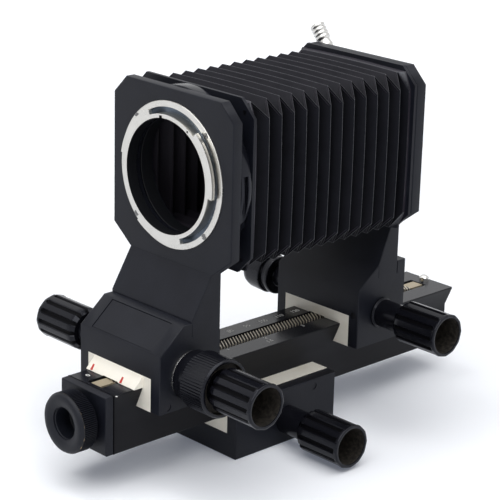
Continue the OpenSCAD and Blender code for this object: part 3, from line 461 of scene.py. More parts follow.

# %% [markdown]
# ## Leather
#
# The bellows is thin black leather. Its creases are lighter, partly rubbed and partly a painted
# highlight; the folds that face upwards are lighter, as painted light from above; and the folds darken
# inwards as painted shade. The mesh carries two numbers that the finish reads: crease is 1 on a fold's
# edge and 0 just beside it, and reach falls slowly from 1 on the outer edges to 0 deep in the folds,
# where the finish paints shade.

# %% Bellows leather
def leather():
    graph = Graph("folded_black_leather")
    crease = graph.node("Attribute", {"attribute_name": "crease"}, output=2)
    reach = graph.node("Attribute", {"attribute_name": "reach"}, output=2)
    pores = graph.node("TexVoronoi", {"feature": "DISTANCE_TO_EDGE"},
                       {"Vector": place(graph), "Scale": 1 / (0.55 * MM)})
    grain = noise(graph, 0.8, 3.0)
    patchy = noise(graph, 9, 4.0, roughness=0.6)
    # Crease edges are lighter: partly rubbed leather, partly a painted highlight.
    rubbed_and_highlit = ramp(graph, crease + grain * 0.5 - 0.25, [(0.45, 0), (1.0, 1)])
    # Low reach darkens the leather deep in the folds: painted shade, with random patches.
    tone_mask = ramp(graph, reach + patchy * 0.5 - 0.25, [(0.25, 0), (0.95, 1)])
    fold_shaded = blend_colour(graph, tone_mask, colour(0.0008, 0.0010, 0.0020), colour(0.0080, 0.0086, 0.0125))
    painted_top_light = blend_colour(graph, patchy * 0.6 + tone_mask * 0.4, colour(0.0200, 0.0205, 0.0250),
                         colour(0.0480, 0.0465, 0.0545))
    # Faces that look upwards are lighter: painted light from above, mixed with random patches.
    upwards = graph.node("SeparateXYZ", None, {0: graph.node("NewGeometry", output="Normal")}, output=2)
    cloth = blend_colour(graph, ramp(graph, upwards, [(0.1, 0), (0.8, 1)]), fold_shaded, painted_top_light)
    base = blend_colour(graph, rubbed_and_highlit * 0.8, cloth, colour(0.150, 0.153, 0.168))
    rough = 0.62 - rubbed_and_highlit * 0.12 + grain * 0.12
    height = ramp(graph, pores, [(0.0, 0), (0.3, 1)])
    return graph.feed(Base_Color=base, Roughness=rough, Specular_IOR_Level=0.1,
                      Normal=bump(graph, height, 0.03, 0.45))


def lining():
    """The smooth cloth inside the bellows."""
    graph = Graph("bellows_lining")
    weave = noise(graph, 0.5, 2.0)
    base = blend_colour(graph, weave, colour(0.016, 0.014, 0.021), colour(0.026, 0.023, 0.032))
    return graph.feed(Base_Color=base, Roughness=0.6 + weave * 0.1, Specular_IOR_Level=0.2,
                      Normal=bump(graph, weave, 0.02, 0.4))


finishes["bellows_leather"] = leather()
lining_cloth = lining()
print("bellows wears", finishes["bellows_leather"].name, "over", lining_cloth.name)


# %% Print and paint for marks
def mark_paint(name, paint):
    graph = Graph(name)
    thin = noise(graph, 0.4, 2.0)
    faded = tuple(0.8 * value for value in paint)
    base = blend_colour(graph, thin, colour(*faded), colour(*paint))
    return graph.feed(Base_Color=base, Roughness=0.45, Normal=bump(graph, thin, 0.004, 0.4))


white_print = mark_paint("white_print", (0.72, 0.72, 0.70))
red_print = mark_paint("red_print", (0.55, 0.03, 0.02))
print("finishes:", ", ".join(finishes))

# %% [markdown]
# ## Softened copies of the solids
#
# A machined or cast edge is never sharp: it catches a thin highlight. The larger hard solids are
# therefore rebuilt as clean meshes, most of them with a narrow bevel on their edges. Normals weighted
# towards the large faces shade the bevel as a small radius. The copy then stands for the solid, and
# screws, shafts and other small parts keep theirs. Each standard is one casting held as two solids, so
# a boolean union joins the two copies and no seam shows.

# %% A piece and what it stands for
slots = {row["node"]: row["material_slot"] for row in frame["record"]["subparts"]}
body_of = {}
for body, members in frame["record"]["behaviour"]["bodies"].items():
    body_of.update({node: body for node in members})


def add_piece(name, mesh, body, slot, finish=None, stands_for=()):
    """Links a mesh as a piece that rides on a body and wears a finish."""
    piece = bpy.data.objects.new(name, mesh)
    bpy.context.scene.collection.objects.link(piece)
    mesh.materials.append(finish or finishes[slot])
    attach(piece, body)
    if stands_for:
        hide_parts(*stands_for)
    return piece


print("bodies that pieces ride on:", len(set(body_of.values())))


# %% Clean and joined copies
MERGE_MM = 0.003
FLAT_ANGLE = math.radians(0.4)


def plain_mesh(node):
    """The node's corners and faces alone, without the importer's normals."""
    solid = frame["nodes"][node].data
    mesh = bpy.data.meshes.new(node + "_shape")
    mesh.from_pydata([vertex.co for vertex in solid.vertices], [],
                     [tuple(polygon.vertices) for polygon in solid.polygons])
    return mesh


def tidy_mesh(mesh):
    """Merges doubled corners and flat neighbours, so that a bevel finds only real edges."""
    shape = bmesh.new()
    shape.from_mesh(mesh)
    bmesh.ops.remove_doubles(shape, verts=shape.verts, dist=MERGE_MM * MM)
    bmesh.ops.dissolve_limit(shape, angle_limit=FLAT_ANGLE, verts=shape.verts, edges=shape.edges)
    bmesh.ops.recalc_face_normals(shape, faces=shape.faces)
    shape.to_mesh(mesh)
    shape.free()
    return mesh


def joined_mesh(first, second):
    """One mesh of two solids that touch face to face."""
    base, tool = [bpy.data.objects.new(node + "_half", tidy_mesh(plain_mesh(node)))
                  for node in (first, second)]
    for half in (base, tool):
        bpy.context.scene.collection.objects.link(half)
    union = base.modifiers.new("union", "BOOLEAN")
    union.operation = "UNION"
    union.solver = "EXACT"
    union.object = tool
    whole = bpy.data.meshes.new_from_object(base.evaluated_get(bpy.context.evaluated_depsgraph_get()))
    for half in (base, tool):
        bpy.data.objects.remove(half)
    return tidy_mesh(whole)


print("copies ready, corners merged within", MERGE_MM, "mm")

# %% Smooth shading and narrow bevels
HARD_SHARP = 62
BEVEL_FROM = math.radians(50)
LARGE_FACE_WEIGHT = 90


def smooth_shade(piece, angle):
    """Smooth faces with sharp edges over an angle, weighted towards the large faces."""
    for polygon in piece.data.polygons:
        polygon.use_smooth = True
    piece.data.set_sharp_from_angle(angle=math.radians(angle))
    weighted = piece.modifiers.new("weighted", "WEIGHTED_NORMAL")
    weighted.keep_sharp = True
    weighted.weight = LARGE_FACE_WEIGHT


def bevel_edges(piece, width_mm):
    bevel = piece.modifiers.new("edge", "BEVEL")
    bevel.width = width_mm * MM
    bevel.segments = 1
    bevel.limit_method = "ANGLE"
    bevel.angle_limit = BEVEL_FROM
    bevel.use_clamp_overlap = True


def soften(node, width_mm):
    """Stands for a node with a copy whose edges have a bevel, or none where the width is 0."""
    finish = painted.get(node, finishes[slots[node]])
    piece = add_piece(node + "_dressed", tidy_mesh(plain_mesh(node)), body_of[node], slots[node], finish,
                      stands_for=[node])
    if width_mm:
        bevel_edges(piece, width_mm)
    smooth_shade(piece, HARD_SHARP)
    return piece


print("edges over", HARD_SHARP, "degrees stay sharp")

# %% Soften the plain hard parts
painted = {"front_end_plate": finishes["black_paint"], "bellows_hub": finishes["black_anodised"],
           "rod_socket": finishes["black_paint"], "front_washer": finishes["bright_steel"],
           "mount_screws": grey_steel}
widths = {
    "tripod_block": 0, "label_plate": 0.12,
    "rail": 0.25, "front_end_plate": 0.3, "rod_socket": 0.3,
    "bellows_hub": 0.2, "front_frame": 0.2, "rear_frame": 0.2,
    "front_liner": 0.15, "rear_liner": 0.15, "block_liner": 0.15,
    "lens_mount": 0.12, "aperture_ring": 0.1, "front_washer": 0.1, "lock_collar": 0.2,
    "front_sleeve": 0.25, "rear_sleeve": 0.25, "block_sleeve": 0.25,
    "rear_lock_knob": 0.3, "block_lock_knob": 0.3, "camera_mount": 0.15, "clamp_ring": 0.2,
    "retaining_ring": 0.1, "clamp_lever": 0.15,
}
dressed = {node: soften(node, width) for node, width in widths.items()}
print("softened:", len(dressed))

# %% Join each standard's casting and foot
castings = {"front_standard": "front_foot", "rear_standard": "rear_foot"}
for upper, foot in castings.items():
    casting = add_piece(upper + "_casting", joined_mesh(upper, foot), upper, "black_paint",
                        stands_for=[upper, foot])
    smooth_shade(casting, HARD_SHARP)
    dressed[upper] = casting
    print(upper, "casting faces:", len(casting.data.polygons))

# %% Finish the parts that keep their solids
kept = [node for node in slots if node not in dressed and node not in castings
        and node not in castings.values()]
for node in kept:
    solid = frame["nodes"][node]
    solid.data.materials.clear()
    solid.data.materials.append(painted.get(node, finishes[slots[node]]))
print("kept solids:", len(kept))

# %% [markdown]
# ## Black inside the throat, painted shade in the groove and on the rail's flanks
#
# The walls that light passes on its way through the front standard are matt black, while the faces that
# a lens seats on stay bright. Behind the lugs runs a deeper groove of ringed metal, darkened as painted
# shade. These faces are chosen by how far their corners lie from the lens axis, and the rail's flanks,
# duller and darkened as painted shade, by the way they look. Each choice gets a second material.

# %% Give chosen faces another finish
def paint_faces(piece, finish, chosen):
    """Gives the faces whose corners and normal are chosen another finish."""
    mesh = piece.data
    mesh.materials.append(finish)
    count = 0
    for polygon in mesh.polygons:
        corners = [mesh.vertices[index].co / MM for index in polygon.vertices]
        if chosen(corners, polygon.normal):
            polygon.material_index = len(mesh.materials) - 1
            count += 1
    return count


print("faces to choose from on the lens mount:", len(dressed["lens_mount"].data.polygons))

# %% Choose faces by their place and by the way they look
WALL_R = 31.6
GROOVE_R = (25.7, 28.6)
FLANGE_Y = -45.6
FLANGE_PLAY = 0.1
ACROSS_AXIS = 0.5
UPRIGHT = 0.9


def radii(corners):
    return [math.hypot(corner.x, corner.z - AXIS_Z) for corner in corners]


def looks_at_axis(corners, normal):
    first = corners[0]
    return normal.x * first.x + normal.z * (first.z - AXIS_Z) < 0 and abs(normal.y) < ACROSS_AXIS


def in_throat(corners, normal):
    return max(radii(corners)) < WALL_R and looks_at_axis(corners, normal)


def in_mount_throat(corners, normal):
    return max(radii(corners)) < GROOVE_R[0] and looks_at_axis(corners, normal)


def in_groove(corners, normal):
    away = radii(corners)
    behind_flange = min(corner.y for corner in corners) > FLANGE_Y - FLANGE_PLAY
    return GROOVE_R[0] < min(away) and max(away) < GROOVE_R[1] and behind_flange


def upright(corners, normal):
    return abs(normal.x) > UPRIGHT


print("throat inside", WALL_R, "mm, groove between", GROOVE_R, "mm")

# %% Blacken the throat, and paint shade into the groove and onto the rail's upright flanks
print("rail flank faces:", paint_faces(dressed["rail"], shaded_rail_flank, upright))
print("mount throat faces:", paint_faces(dressed["lens_mount"], throat, in_mount_throat))
print("mount groove faces:", paint_faces(dressed["lens_mount"], shaded_groove_metal, in_groove))
print("hub faces:", paint_faces(dressed["bellows_hub"], throat, in_throat))
print("casting faces:", paint_faces(dressed["front_standard"], throat, in_throat))

# %% [markdown]
# ## The folded leather
#
# The bellows is one tube of leather, folded flat along crossing creases: where the top has a ridge, the
# sides have a valley, and half a fold further on it is the other way round. So its rings are by turns
# wide and low, then narrow and tall, and flat panels join them. Their corners are joined by the short
# slanting creases that show at every fold. A table of rings gives the shape, and every crease gets a
# narrow strip on both sides, over which smooth shading rounds the leather.

# %% The rings
FOLDS = 12
PITCH = 7.03
BELLOWS_Z = AXIS_Z - 0.85
FRONT_Y = -33.1
REAR_Y = 60.1
GLUED_Y = FRONT_Y + 0.8
RIM_Y = FRONT_Y + 0.9
FIRST_WIDE_Y = -23.7
FIRST_TALL_LEAD = 0.74
WIDE = (34.0, 28.2)
TALL = (28.3, 34.85)
RIM_SIDE = (34.2, 27.2)
RIM_TOP = (30.8, 35.0)
GLUED_SIDE = (31.6, 25.0)
GLUED_TOP = (27.0, 32.0)
RIM_T = 1.0


def ring(y, side, top, side_ridge, top_ridge):
    """A ring's place, its corners at the side and at the top, and which of its edges are ridges."""
    return {"y": y, "side": side, "top": top, "side_ridge": side_ridge, "top_ridge": top_ridge}


def wide_ring(index):
    return ring(FIRST_WIDE_Y + PITCH * index, WIDE, WIDE, 1, 0)


def tall_ring(index):
    return ring(FIRST_WIDE_Y + PITCH * (index + 0.5), TALL, TALL, 0, 1)


front_rings = [
    ring(FRONT_Y, GLUED_SIDE, GLUED_TOP, 0, 0),
    ring(GLUED_Y, GLUED_SIDE, GLUED_TOP, 0, 0),
    ring(RIM_Y, RIM_SIDE, RIM_TOP, 1, 1),
    ring(RIM_Y + RIM_T, RIM_SIDE, RIM_TOP, 1, 1),
    ring(FIRST_WIDE_Y - FIRST_TALL_LEAD * PITCH, TALL, TALL, 0, 1),
]
for index in range(FOLDS // 2):
    front_rings += [wide_ring(index), tall_ring(index)]
HALFWAY = tuple((wide + tall) / 2 for wide, tall in zip(WIDE, TALL))
front_rings.append(ring(FIRST_WIDE_Y + PITCH * (FOLDS // 2 - 0.25), HALFWAY, HALFWAY, 0.5, 0.5))
rear_rings = [front_rings[-1]]
for index in range(FOLDS // 2, FOLDS):
    rear_rings += [wide_ring(index), tall_ring(index)]
rear_rings += [
    ring(REAR_Y - RIM_T, RIM_SIDE, RIM_TOP, 1, 1),
    ring(REAR_Y, RIM_SIDE, RIM_TOP, 1, 1),
]
MIDDLE_Y = front_rings[-1]["y"]
print("rings:", len(front_rings) + len(rear_rings) - 1, "meeting at", round(MIDDLE_Y, 2), "mm")

# %% From rings to cloth
CLOTH = 0.7
STRIP = 0.4
BOW = 0.4
SAG = 0.12
# The rim's corners and edges take this much crease, which the leather shows as rub and painted highlight.
RIM_RUB_AND_HIGHLIGHT = 0.35
EDGE_STEPS = 8
PANEL_ROWS = (0.3, 0.5, 0.7)
CLOTH_MERGE_MM = 0.01
CLOTH_SHARP = 80
EDGES = ("side_ridge", "top_ridge")


def between(low, high, part):
    return tuple(a + (b - a) * part for a, b in zip(low, high))


def edge_places(length):
    """Places along a long edge, from 0 to 1, with a narrow strip at both ends."""
    strip = STRIP / length
    return [0, strip] + [step / EDGE_STEPS for step in range(1, EDGE_STEPS)] + [1 - strip]


def ring_points(side, top, outs, lines, ridges):
    """(x, z, crease, reach) round a ring, from the right side's top corner over the top."""
    corners = [(side[0], side[1]), (top[0], top[1]), (-top[0], top[1]), (-side[0], side[1]),
               (-side[0], -side[1]), (-top[0], -top[1]), (top[0], -top[1]), (side[0], -side[1])]
    points = []
    for index, start in enumerate(corners):
        end = corners[(index + 1) % 8]
        if index % 2 == 0:
            folded = 1.0 if side == top else RIM_RUB_AND_HIGHLIGHT
            points.append((start[0], start[1], folded, max(ridges)))
            continue
        is_side = index % 4 == 3
        edge = 0 if is_side else 1
        out, line, reach = outs[edge], lines[edge], ridges[edge]
        direction = (math.copysign(1, start[0]), 0) if is_side else (0, math.copysign(1, start[1]))
        length = math.dist(start, end)
        for place_along in edge_places(length):
            x, z = between(start, end, place_along)
            swell = out * math.sin(math.pi * place_along)
            near = max(0.0, 1 - min(place_along, 1 - place_along) * length / STRIP)
            points.append((x + direction[0] * swell, z + direction[1] * swell, max(near, line), reach))
    return points


def crease_line(low, high, from_low, from_high):
    """1 on a ridge, falling to 0 over the strip beside it."""
    return [max(0.0, (1 - from_low / STRIP) * (low[edge] == 1), (1 - from_high / STRIP) * (high[edge] == 1))
            for edge in EDGES]


def cloth_rows(rings):
    """The places of every row of points between the rings."""
    rows = []
    for low, high in zip(rings, rings[1:]):
        width = math.hypot(high["y"] - low["y"], high["side"][0] - low["side"][0])
        for part in (0, STRIP / width, *PANEL_ROWS, 1 - STRIP / width):
            ridges = [low[edge] * (1 - part) + high[edge] * part for edge in EDGES]
            outs = [BOW * ridge - SAG * math.sin(math.pi * part) for ridge in ridges]
            lines = crease_line(low, high, part * width, (1 - part) * width)
            rows.append((low["y"] + (high["y"] - low["y"]) * part,
                         ring_points(between(low["side"], high["side"], part),
                                     between(low["top"], high["top"], part), outs, lines, ridges)))
    last = rings[-1]
    ridges = [last[edge] for edge in EDGES]
    rows.append((last["y"], ring_points(last["side"], last["top"], [BOW * ridge for ridge in ridges],
                                        [RIM_RUB_AND_HIGHLIGHT * (ridge == 1) for ridge in ridges], ridges)))
    return rows


print("rows of points: front", len(cloth_rows(front_rings)), "and rear", len(cloth_rows(rear_rings)))


# %% From rows to a mesh
def looks_outwards(shape):
    """True when the faces look away from the bellows' middle line."""
    total = 0
    for face in shape.faces:
        middle = face.calc_center_median()
        total += face.normal.dot(middle - mm(0, middle.y / MM, BELLOWS_Z))
    return total >= 0


def bellows_mesh(name, rings):
    shape = bmesh.new()
    crease_layer = shape.verts.layers.float.new("crease")
    # reach darkens the leather deep in the folds, as painted shade.
    fold_shade_layer = shape.verts.layers.float.new("reach")
    rows = []
    for y, points in cloth_rows(rings):
        row = []
        for x, z, crease, reach in points:
            corner = shape.verts.new(mm(x, y, BELLOWS_Z + z))
            corner[crease_layer] = crease
            corner[fold_shade_layer] = reach
            row.append(corner)
        rows.append(row)
    count = len(rows[0])
    for low, high in zip(rows, rows[1:]):
        for index in range(count):
            following = (index + 1) % count
            shape.faces.new((low[index], low[following], high[following], high[index]))
    bmesh.ops.remove_doubles(shape, verts=shape.verts, dist=CLOTH_MERGE_MM * MM)
    bmesh.ops.dissolve_degenerate(shape, edges=shape.edges, dist=CLOTH_MERGE_MM * MM)
    shape.normal_update()
    if not looks_outwards(shape):
        bmesh.ops.reverse_faces(shape, faces=shape.faces)
    mesh = bpy.data.meshes.new(name)
    shape.to_mesh(mesh)
    shape.free()
    return mesh


print("leather", CLOTH, "mm thick")


# %% Fold the two halves
def add_bellows(name, rings, start, end, stands_for):
    """Half of the bellows, made from a table of rings."""
    mesh = bellows_mesh(name, rings)
    piece = bpy.data.objects.new(name, mesh)
    bpy.context.scene.collection.objects.link(piece)
    mesh.materials.append(finishes["bellows_leather"])
    mesh.materials.append(lining_cloth)
    cloth = piece.modifiers.new("cloth", "SOLIDIFY")
    cloth.thickness = CLOTH * MM
    cloth.offset = -1
    cloth.use_rim = False
    cloth.material_offset = 1
    smooth_shade(piece, CLOTH_SHARP)
    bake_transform(piece)
    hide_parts(stands_for)
    return piece


bellows = [
    add_bellows("bellows_front_folds", front_rings,
                mm(0, FRONT_Y, AXIS_Z), mm(0, MIDDLE_Y, AXIS_Z), "bellows_front"),
    add_bellows("bellows_rear_folds", rear_rings,
                mm(0, MIDDLE_Y, AXIS_Z), mm(0, REAR_Y, AXIS_Z), "bellows_rear"),
]
print("bellows faces:", sum(len(piece.data.polygons) for piece in bellows))

# %% [markdown]
# ## Turned and cut: fluted knobs and knurled rings
#
# Each drive knob is turned, then cut with twelve flutes that run out of its inner end and stop in a
# rounded scoop just before the rim. The ribs between them are nearly flat, so the rim is not quite
# round. Its end is a wide, deep hollow with the fixing screw at the bottom. The clamp collar and the
# lock ring are turned and knurled. One lathe makes them all: a grid in angle and length gives every
# point its radius, less what is cut away there.

# %% A lathe
PLAIN, CUT = 0, 1
# One row of the collar and of the lock ring takes the worn rim, whose light metal is also a painted
# highlight.
COAT, INSIDE, WORN_HIGHLIT_RIM, DEEP_CUT = range(4)
LATHE_SHARP = math.radians(48)


def lathe_mesh(name, profile, steps, cut, place_point, deep_mm):
    """Turns a profile of (radius, place, plain or cut, material), cutting it as it turns."""
    shape = bmesh.new()
    rows = []
    for radius, along, is_cut, material in profile:
        row = []
        for step in range(steps):
            angle = 2 * math.pi * step / steps
            reach = radius - cut(360 * step / steps, along, radius) * is_cut
            row.append(shape.verts.new(place_point(along, reach * math.cos(angle), reach * math.sin(angle))))
        rows.append(row)
    for low, high, (radius, along, is_cut, material) in zip(rows, rows[1:], profile):
        for step in range(steps):
            following = (step + 1) % steps
            face = shape.faces.new((low[step], low[following], high[following], high[step]))
            # Faces deep in a flute or knurl take the near black finish: painted shade.
            deep = is_cut and cut(360 * (step + 0.5) / steps, along, radius) > deep_mm
            face.material_index = DEEP_CUT if deep else material
    bmesh.ops.recalc_face_normals(shape, faces=shape.faces)
    mesh = bpy.data.meshes.new(name)
    shape.to_mesh(mesh)
    shape.free()
    for polygon in mesh.polygons:
        polygon.use_smooth = True
    mesh.set_sharp_from_angle(angle=LATHE_SHARP)
    return mesh


def add_turned(node, body, slot, mesh, coat):
    """A turned piece with its coat, the hollow's finish, a worn rim with a painted highlight and cuts in
    painted shade.
    """
    piece = add_piece(node + "_turned", mesh, body, slot, coat, stands_for=[node])
    for finish in (hollow, rubbed_highlit_rim, flute_bottom):
        mesh.materials.append(finish)
    return piece


print("lathe ready")

# %% A fluted knob
KNOB_R = 9.6
KNOB_L = 24.5
FLUTES = 12
FLUTE_HALF_ANGLE = 6.9
FLUTE_D = 0.95
RIM_L = 1.5
SCOOP_L = 1.3
RIB_FLATNESS = 0.65
HOLLOW_R = 8.0
HOLLOW_L = 15.0
BORE_R = 3.0
FLOOR_R = HOLLOW_R - 1.2
FLUTE_PITCH = 360 / FLUTES
TURN_STEPS = 16 * FLUTES
DEEP_FLUTE = FLUTE_D * 0.5
SHOULDER_L = 1.8
SHOULDER = [(1.7, 0, PLAIN), (1.5, 0.1, CUT), (0.15, 1.5, CUT), (0, SHOULDER_L, CUT)]
RIM_ROUND = [(0, 0.4, CUT), (0.12, 0.12, CUT), (0.4, 0, CUT)]
MOUTH_L = 0.4
MOUTH = [(0.35, 0, COAT), (0.08, 0.1, COAT), (0, MOUTH_L, INSIDE)]
RIB_STEPS = 8
SCOOP_STEPS = 7
HOLLOW_STEPS = 8
HOLLOW_TAPER = 0.04


def rib_reach(turn):
    """How far in the nearly flat ribs lie from the full radius, as a share of it."""
    from_rib = abs(turn % FLUTE_PITCH - FLUTE_PITCH / 2)
    flat = math.cos(math.radians(FLUTE_PITCH / 2)) / math.cos(math.radians(from_rib))
    return RIB_FLATNESS * (1 - flat)


def flute_depth(turn, along):
    """Depth of the flutes at a turn in degrees and a place along the knob, in mm."""
    from_flute = abs((turn + FLUTE_PITCH / 2) % FLUTE_PITCH - FLUTE_PITCH / 2)
    across = max(0.0, 1 - (from_flute / FLUTE_HALF_ANGLE) ** 2)
    run_out = min(1.0, max(0.0, (KNOB_L - RIM_L - along) / SCOOP_L))
    return FLUTE_D * math.sqrt(across) * math.sqrt(1 - (1 - run_out) ** 2)


def knob_profile():
    """The lathe's profile of a knob, from the bore round to the hollow's floor."""
    scoop_at = KNOB_L - RIM_L - SCOOP_L
    rib_l = scoop_at - SHOULDER_L
    floor_at = KNOB_L - HOLLOW_L
    profile = [(BORE_R, 0, PLAIN, COAT)]
    profile += [(KNOB_R - inset, along, cut, COAT) for inset, along, cut in SHOULDER]
    profile += [(KNOB_R, SHOULDER_L + rib_l * step / RIB_STEPS, CUT, COAT)
                for step in range(1, RIB_STEPS + 1)]
    profile += [(KNOB_R, scoop_at + SCOOP_L * step / SCOOP_STEPS, CUT, COAT)
                for step in range(1, SCOOP_STEPS + 1)]
    profile += [(KNOB_R - inset, KNOB_L - short, cut, COAT) for inset, short, cut in RIM_ROUND]
    profile += [(HOLLOW_R + flare, KNOB_L - deep, PLAIN, material) for flare, deep, material in MOUTH]
    profile += [(HOLLOW_R - HOLLOW_TAPER * step,
                 KNOB_L - MOUTH_L - (HOLLOW_L - MOUTH_L) * step / HOLLOW_STEPS, PLAIN, INSIDE)
                for step in range(1, HOLLOW_STEPS + 1)]
    return profile + [(FLOOR_R, floor_at, PLAIN, INSIDE), (BORE_R, floor_at, PLAIN, INSIDE)]


def knob_cut(turn, along, radius):
    return flute_depth(turn, along) + rib_reach(turn) * radius


def knob_mesh(name, x, y, z, side):
    return lathe_mesh(name, knob_profile(), TURN_STEPS, knob_cut,
                      lambda along, a, b: mm(side * (x + along), y + a, z + b), DEEP_FLUTE)


print("knob profile:", len(knob_profile()), "points")

# %% Turn the four knobs
FRONT_AXIS = (-56.55, 46.53)
REAR_AXIS = (57.8, 46.53)
BLOCK_AXIS = (0.0, 11.07)
knobs = [
    ("front_knob_right", "front_drive", FRONT_AXIS, 1),
    ("front_knob_left", "front_drive", FRONT_AXIS, -1),
    ("rear_knob", "rear_drive", REAR_AXIS, 1),
    ("block_knob", "block_drive", BLOCK_AXIS, 1),
]
for node, body, (y, z), side in knobs:
    low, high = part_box(node)
    inner_end = low[0] / MM if side > 0 else -high[0] / MM
    add_turned(node, body, "black_knob", knob_mesh(node + "_turned", inner_end, y, z, side),
               finishes["black_knob"])
print("knobs:", len(knobs), "with", FLUTES, "flutes each")

# %% Knurled collar and lock ring
COLLAR_Z = 28.8
COLLAR_L = 8.4
RING_L = 14.2
COLLAR_KNURLS = 96
RING_KNURLS = 60
STEPS_PER_KNURL = 4
KNURL_D = 0.4
COLLAR_DEEP = 0.3
RING_DEEP = 0.32


def knurl(count):
    """A cut of count straight, sharp ridges."""
    return lambda turn, along, radius: KNURL_D * abs(2 * (turn * count / 360 % 1) - 1)


collar_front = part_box("clamp_collar")[0][1] / MM
collar_profile = [
    (6.9, COLLAR_L - 1, PLAIN, COAT), (6.9, 1.0, PLAIN, COAT), (7.2, 0.75, PLAIN, COAT),
    (9.7, 0, PLAIN, COAT), (11.3, 0, PLAIN, COAT), (12.1, 0.45, PLAIN, COAT), (12.45, 1.3, PLAIN, COAT),
    (12.55, 1.5, PLAIN, WORN_HIGHLIT_RIM), (12.85, 1.6, PLAIN, COAT), (12.9, 1.7, CUT, COAT),
    (12.9, 7.7, CUT, COAT), (12.3, COLLAR_L, PLAIN, COAT), (9.8, COLLAR_L, PLAIN, COAT),
]
collar = lathe_mesh("clamp_collar_turned", collar_profile, COLLAR_KNURLS * STEPS_PER_KNURL,
                    knurl(COLLAR_KNURLS), lambda along, a, b: mm(a, collar_front + along, COLLAR_Z + b),
                    COLLAR_DEEP)
add_turned("clamp_collar", body_of["clamp_collar"], "black_anodised", collar, finishes["black_paint"])
ring_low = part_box("lock_ring")[0][0] / MM
ring_profile = [
    (7.8, 0, PLAIN, COAT), (11.7, 0, PLAIN, COAT), (12.2, 0.5, PLAIN, COAT), (12.4, 0.8, CUT, COAT),
    (12.4, 12.6, CUT, COAT), (12.4, 13.4, PLAIN, COAT), (12.2, 13.75, PLAIN, COAT),
    (11.8, RING_L, PLAIN, COAT), (10.95, RING_L, PLAIN, WORN_HIGHLIT_RIM), (10.75, 14.05, PLAIN, INSIDE),
    (10.7, 11.6, PLAIN, INSIDE), (7.8, 11.6, PLAIN, INSIDE),
]
lock_ring = lathe_mesh("lock_ring_turned", ring_profile, RING_KNURLS * STEPS_PER_KNURL, knurl(RING_KNURLS),
                       lambda along, a, b: mm(ring_low + along, FRONT_AXIS[0] + a, FRONT_AXIS[1] + b),
                       RING_DEEP)
add_turned("lock_ring", body_of["lock_ring"], "black_knob", lock_ring, finishes["black_knob"])
print("ridges:", COLLAR_KNURLS, "on the collar and", RING_KNURLS, "on the ring")

# %% [markdown]
# ## The slanted top rack
#
# The teeth of the top rack lean across the bar. Its outline along the rail is drawn once on each flank of
# the bar, sheared by the slant, and the two outlines are joined into a solid.

# %% Cut the slanted rack
RACK_HALF_W = 2.9
RACK_LOW_Z = 39.0
RACK_TIPS_Z = 41.8
RACK_ROOTS_Z = 40.9
PLAIN_END_Z = 41.35
RACK_HALF_L = 98.3
TIP_HALF = 0.222
ROOT_HALF = 0.55


def rack_outline():
    """(y, z, slanted or not) along the top of the bar, from end to end."""
    first = math.ceil((RACK_MIDDLE_Y - TOOTHED_REACH) / TOOTH_PITCH)
    last = math.floor((RACK_MIDDLE_Y + TOOTHED_REACH) / TOOTH_PITCH)
    outline = [(RACK_MIDDLE_Y - RACK_HALF_L, PLAIN_END_Z, 0),
               (first * TOOTH_PITCH - ROOT_HALF, PLAIN_END_Z, 1), (first * TOOTH_PITCH, RACK_ROOTS_Z, 1)]
    for tooth in range(first, last):
        middle = (tooth + 0.5) * TOOTH_PITCH
        outline += [(middle - ROOT_HALF, RACK_ROOTS_Z, 1), (middle - TIP_HALF, RACK_TIPS_Z, 1),
                    (middle + TIP_HALF, RACK_TIPS_Z, 1), (middle + ROOT_HALF, RACK_ROOTS_Z, 1)]
    return outline + [(last * TOOTH_PITCH, RACK_ROOTS_Z, 1), (last * TOOTH_PITCH + ROOT_HALF, PLAIN_END_Z, 1),
                      (RACK_MIDDLE_Y + RACK_HALF_L, PLAIN_END_Z, 0)]


def rack_mesh(name):
    shape = bmesh.new()
    columns = []
    for x in (-RACK_HALF_W, RACK_HALF_W):
        places = [(y - TOOTH_SLANT * x * slanted, z) for y, z, slanted in rack_outline()]
        top = [shape.verts.new(mm(x, y, z)) for y, z in places]
        low = [shape.verts.new(mm(x, y, RACK_LOW_Z)) for y, z in places]
        columns.append((top, low))
    (left_top, left_low), (right_top, right_low) = columns
    bands = [(left_top, right_top), (right_top, right_low), (right_low, left_low), (left_low, left_top)]
    for one, other in bands:
        for index in range(len(one) - 1):
            shape.faces.new((one[index], other[index], other[index + 1], one[index + 1]))
    for end in (0, -1):
        shape.faces.new((left_top[end], right_top[end], right_low[end], left_low[end]))
    bmesh.ops.recalc_face_normals(shape, faces=shape.faces)
    mesh = bpy.data.meshes.new(name)
    shape.to_mesh(mesh)
    shape.free()
    return mesh


slanted_rack = add_piece("top_rack_slanted", rack_mesh("top_rack_slanted"), body_of["top_rack"], "rack_brass",
                         stands_for=["top_rack"])
print("rack faces:", len(slanted_rack.data.polygons))

# %% [markdown]
# ## Marks
#
# A scale of plain numbers runs along the left shelf of the rail, read from the right, and a few small
# ones stand on the right shelf. Two red lines on the front lip and a white dot on the rail's corner
# index them. Print is thin but has a real thickness, so it lies just proud of the surface. The label
# plate on the slope stays bare.

# %% Print
PRINT_T = 0.03
BOLD = 0.07
RAIL_TOP_Z = 41.6
FIRST_NUMBER_Y = -81.5
NUMBERS = 19
NUMBER_STEP = 10
NUMBER_X = -9.4
NUMBER_SIZE = 3.3
RIGHT_MARKS = [("1", 6.3, -17.4), ("2", 6.3, 4.8), ("1.5", 10.4, 3.6), ("3", 6.3, 28.0)]
RIGHT_MARK_SIZE = 2.8
CORNER_DOT = (13.7, -86.9)
DOT_SIZE = 7.0


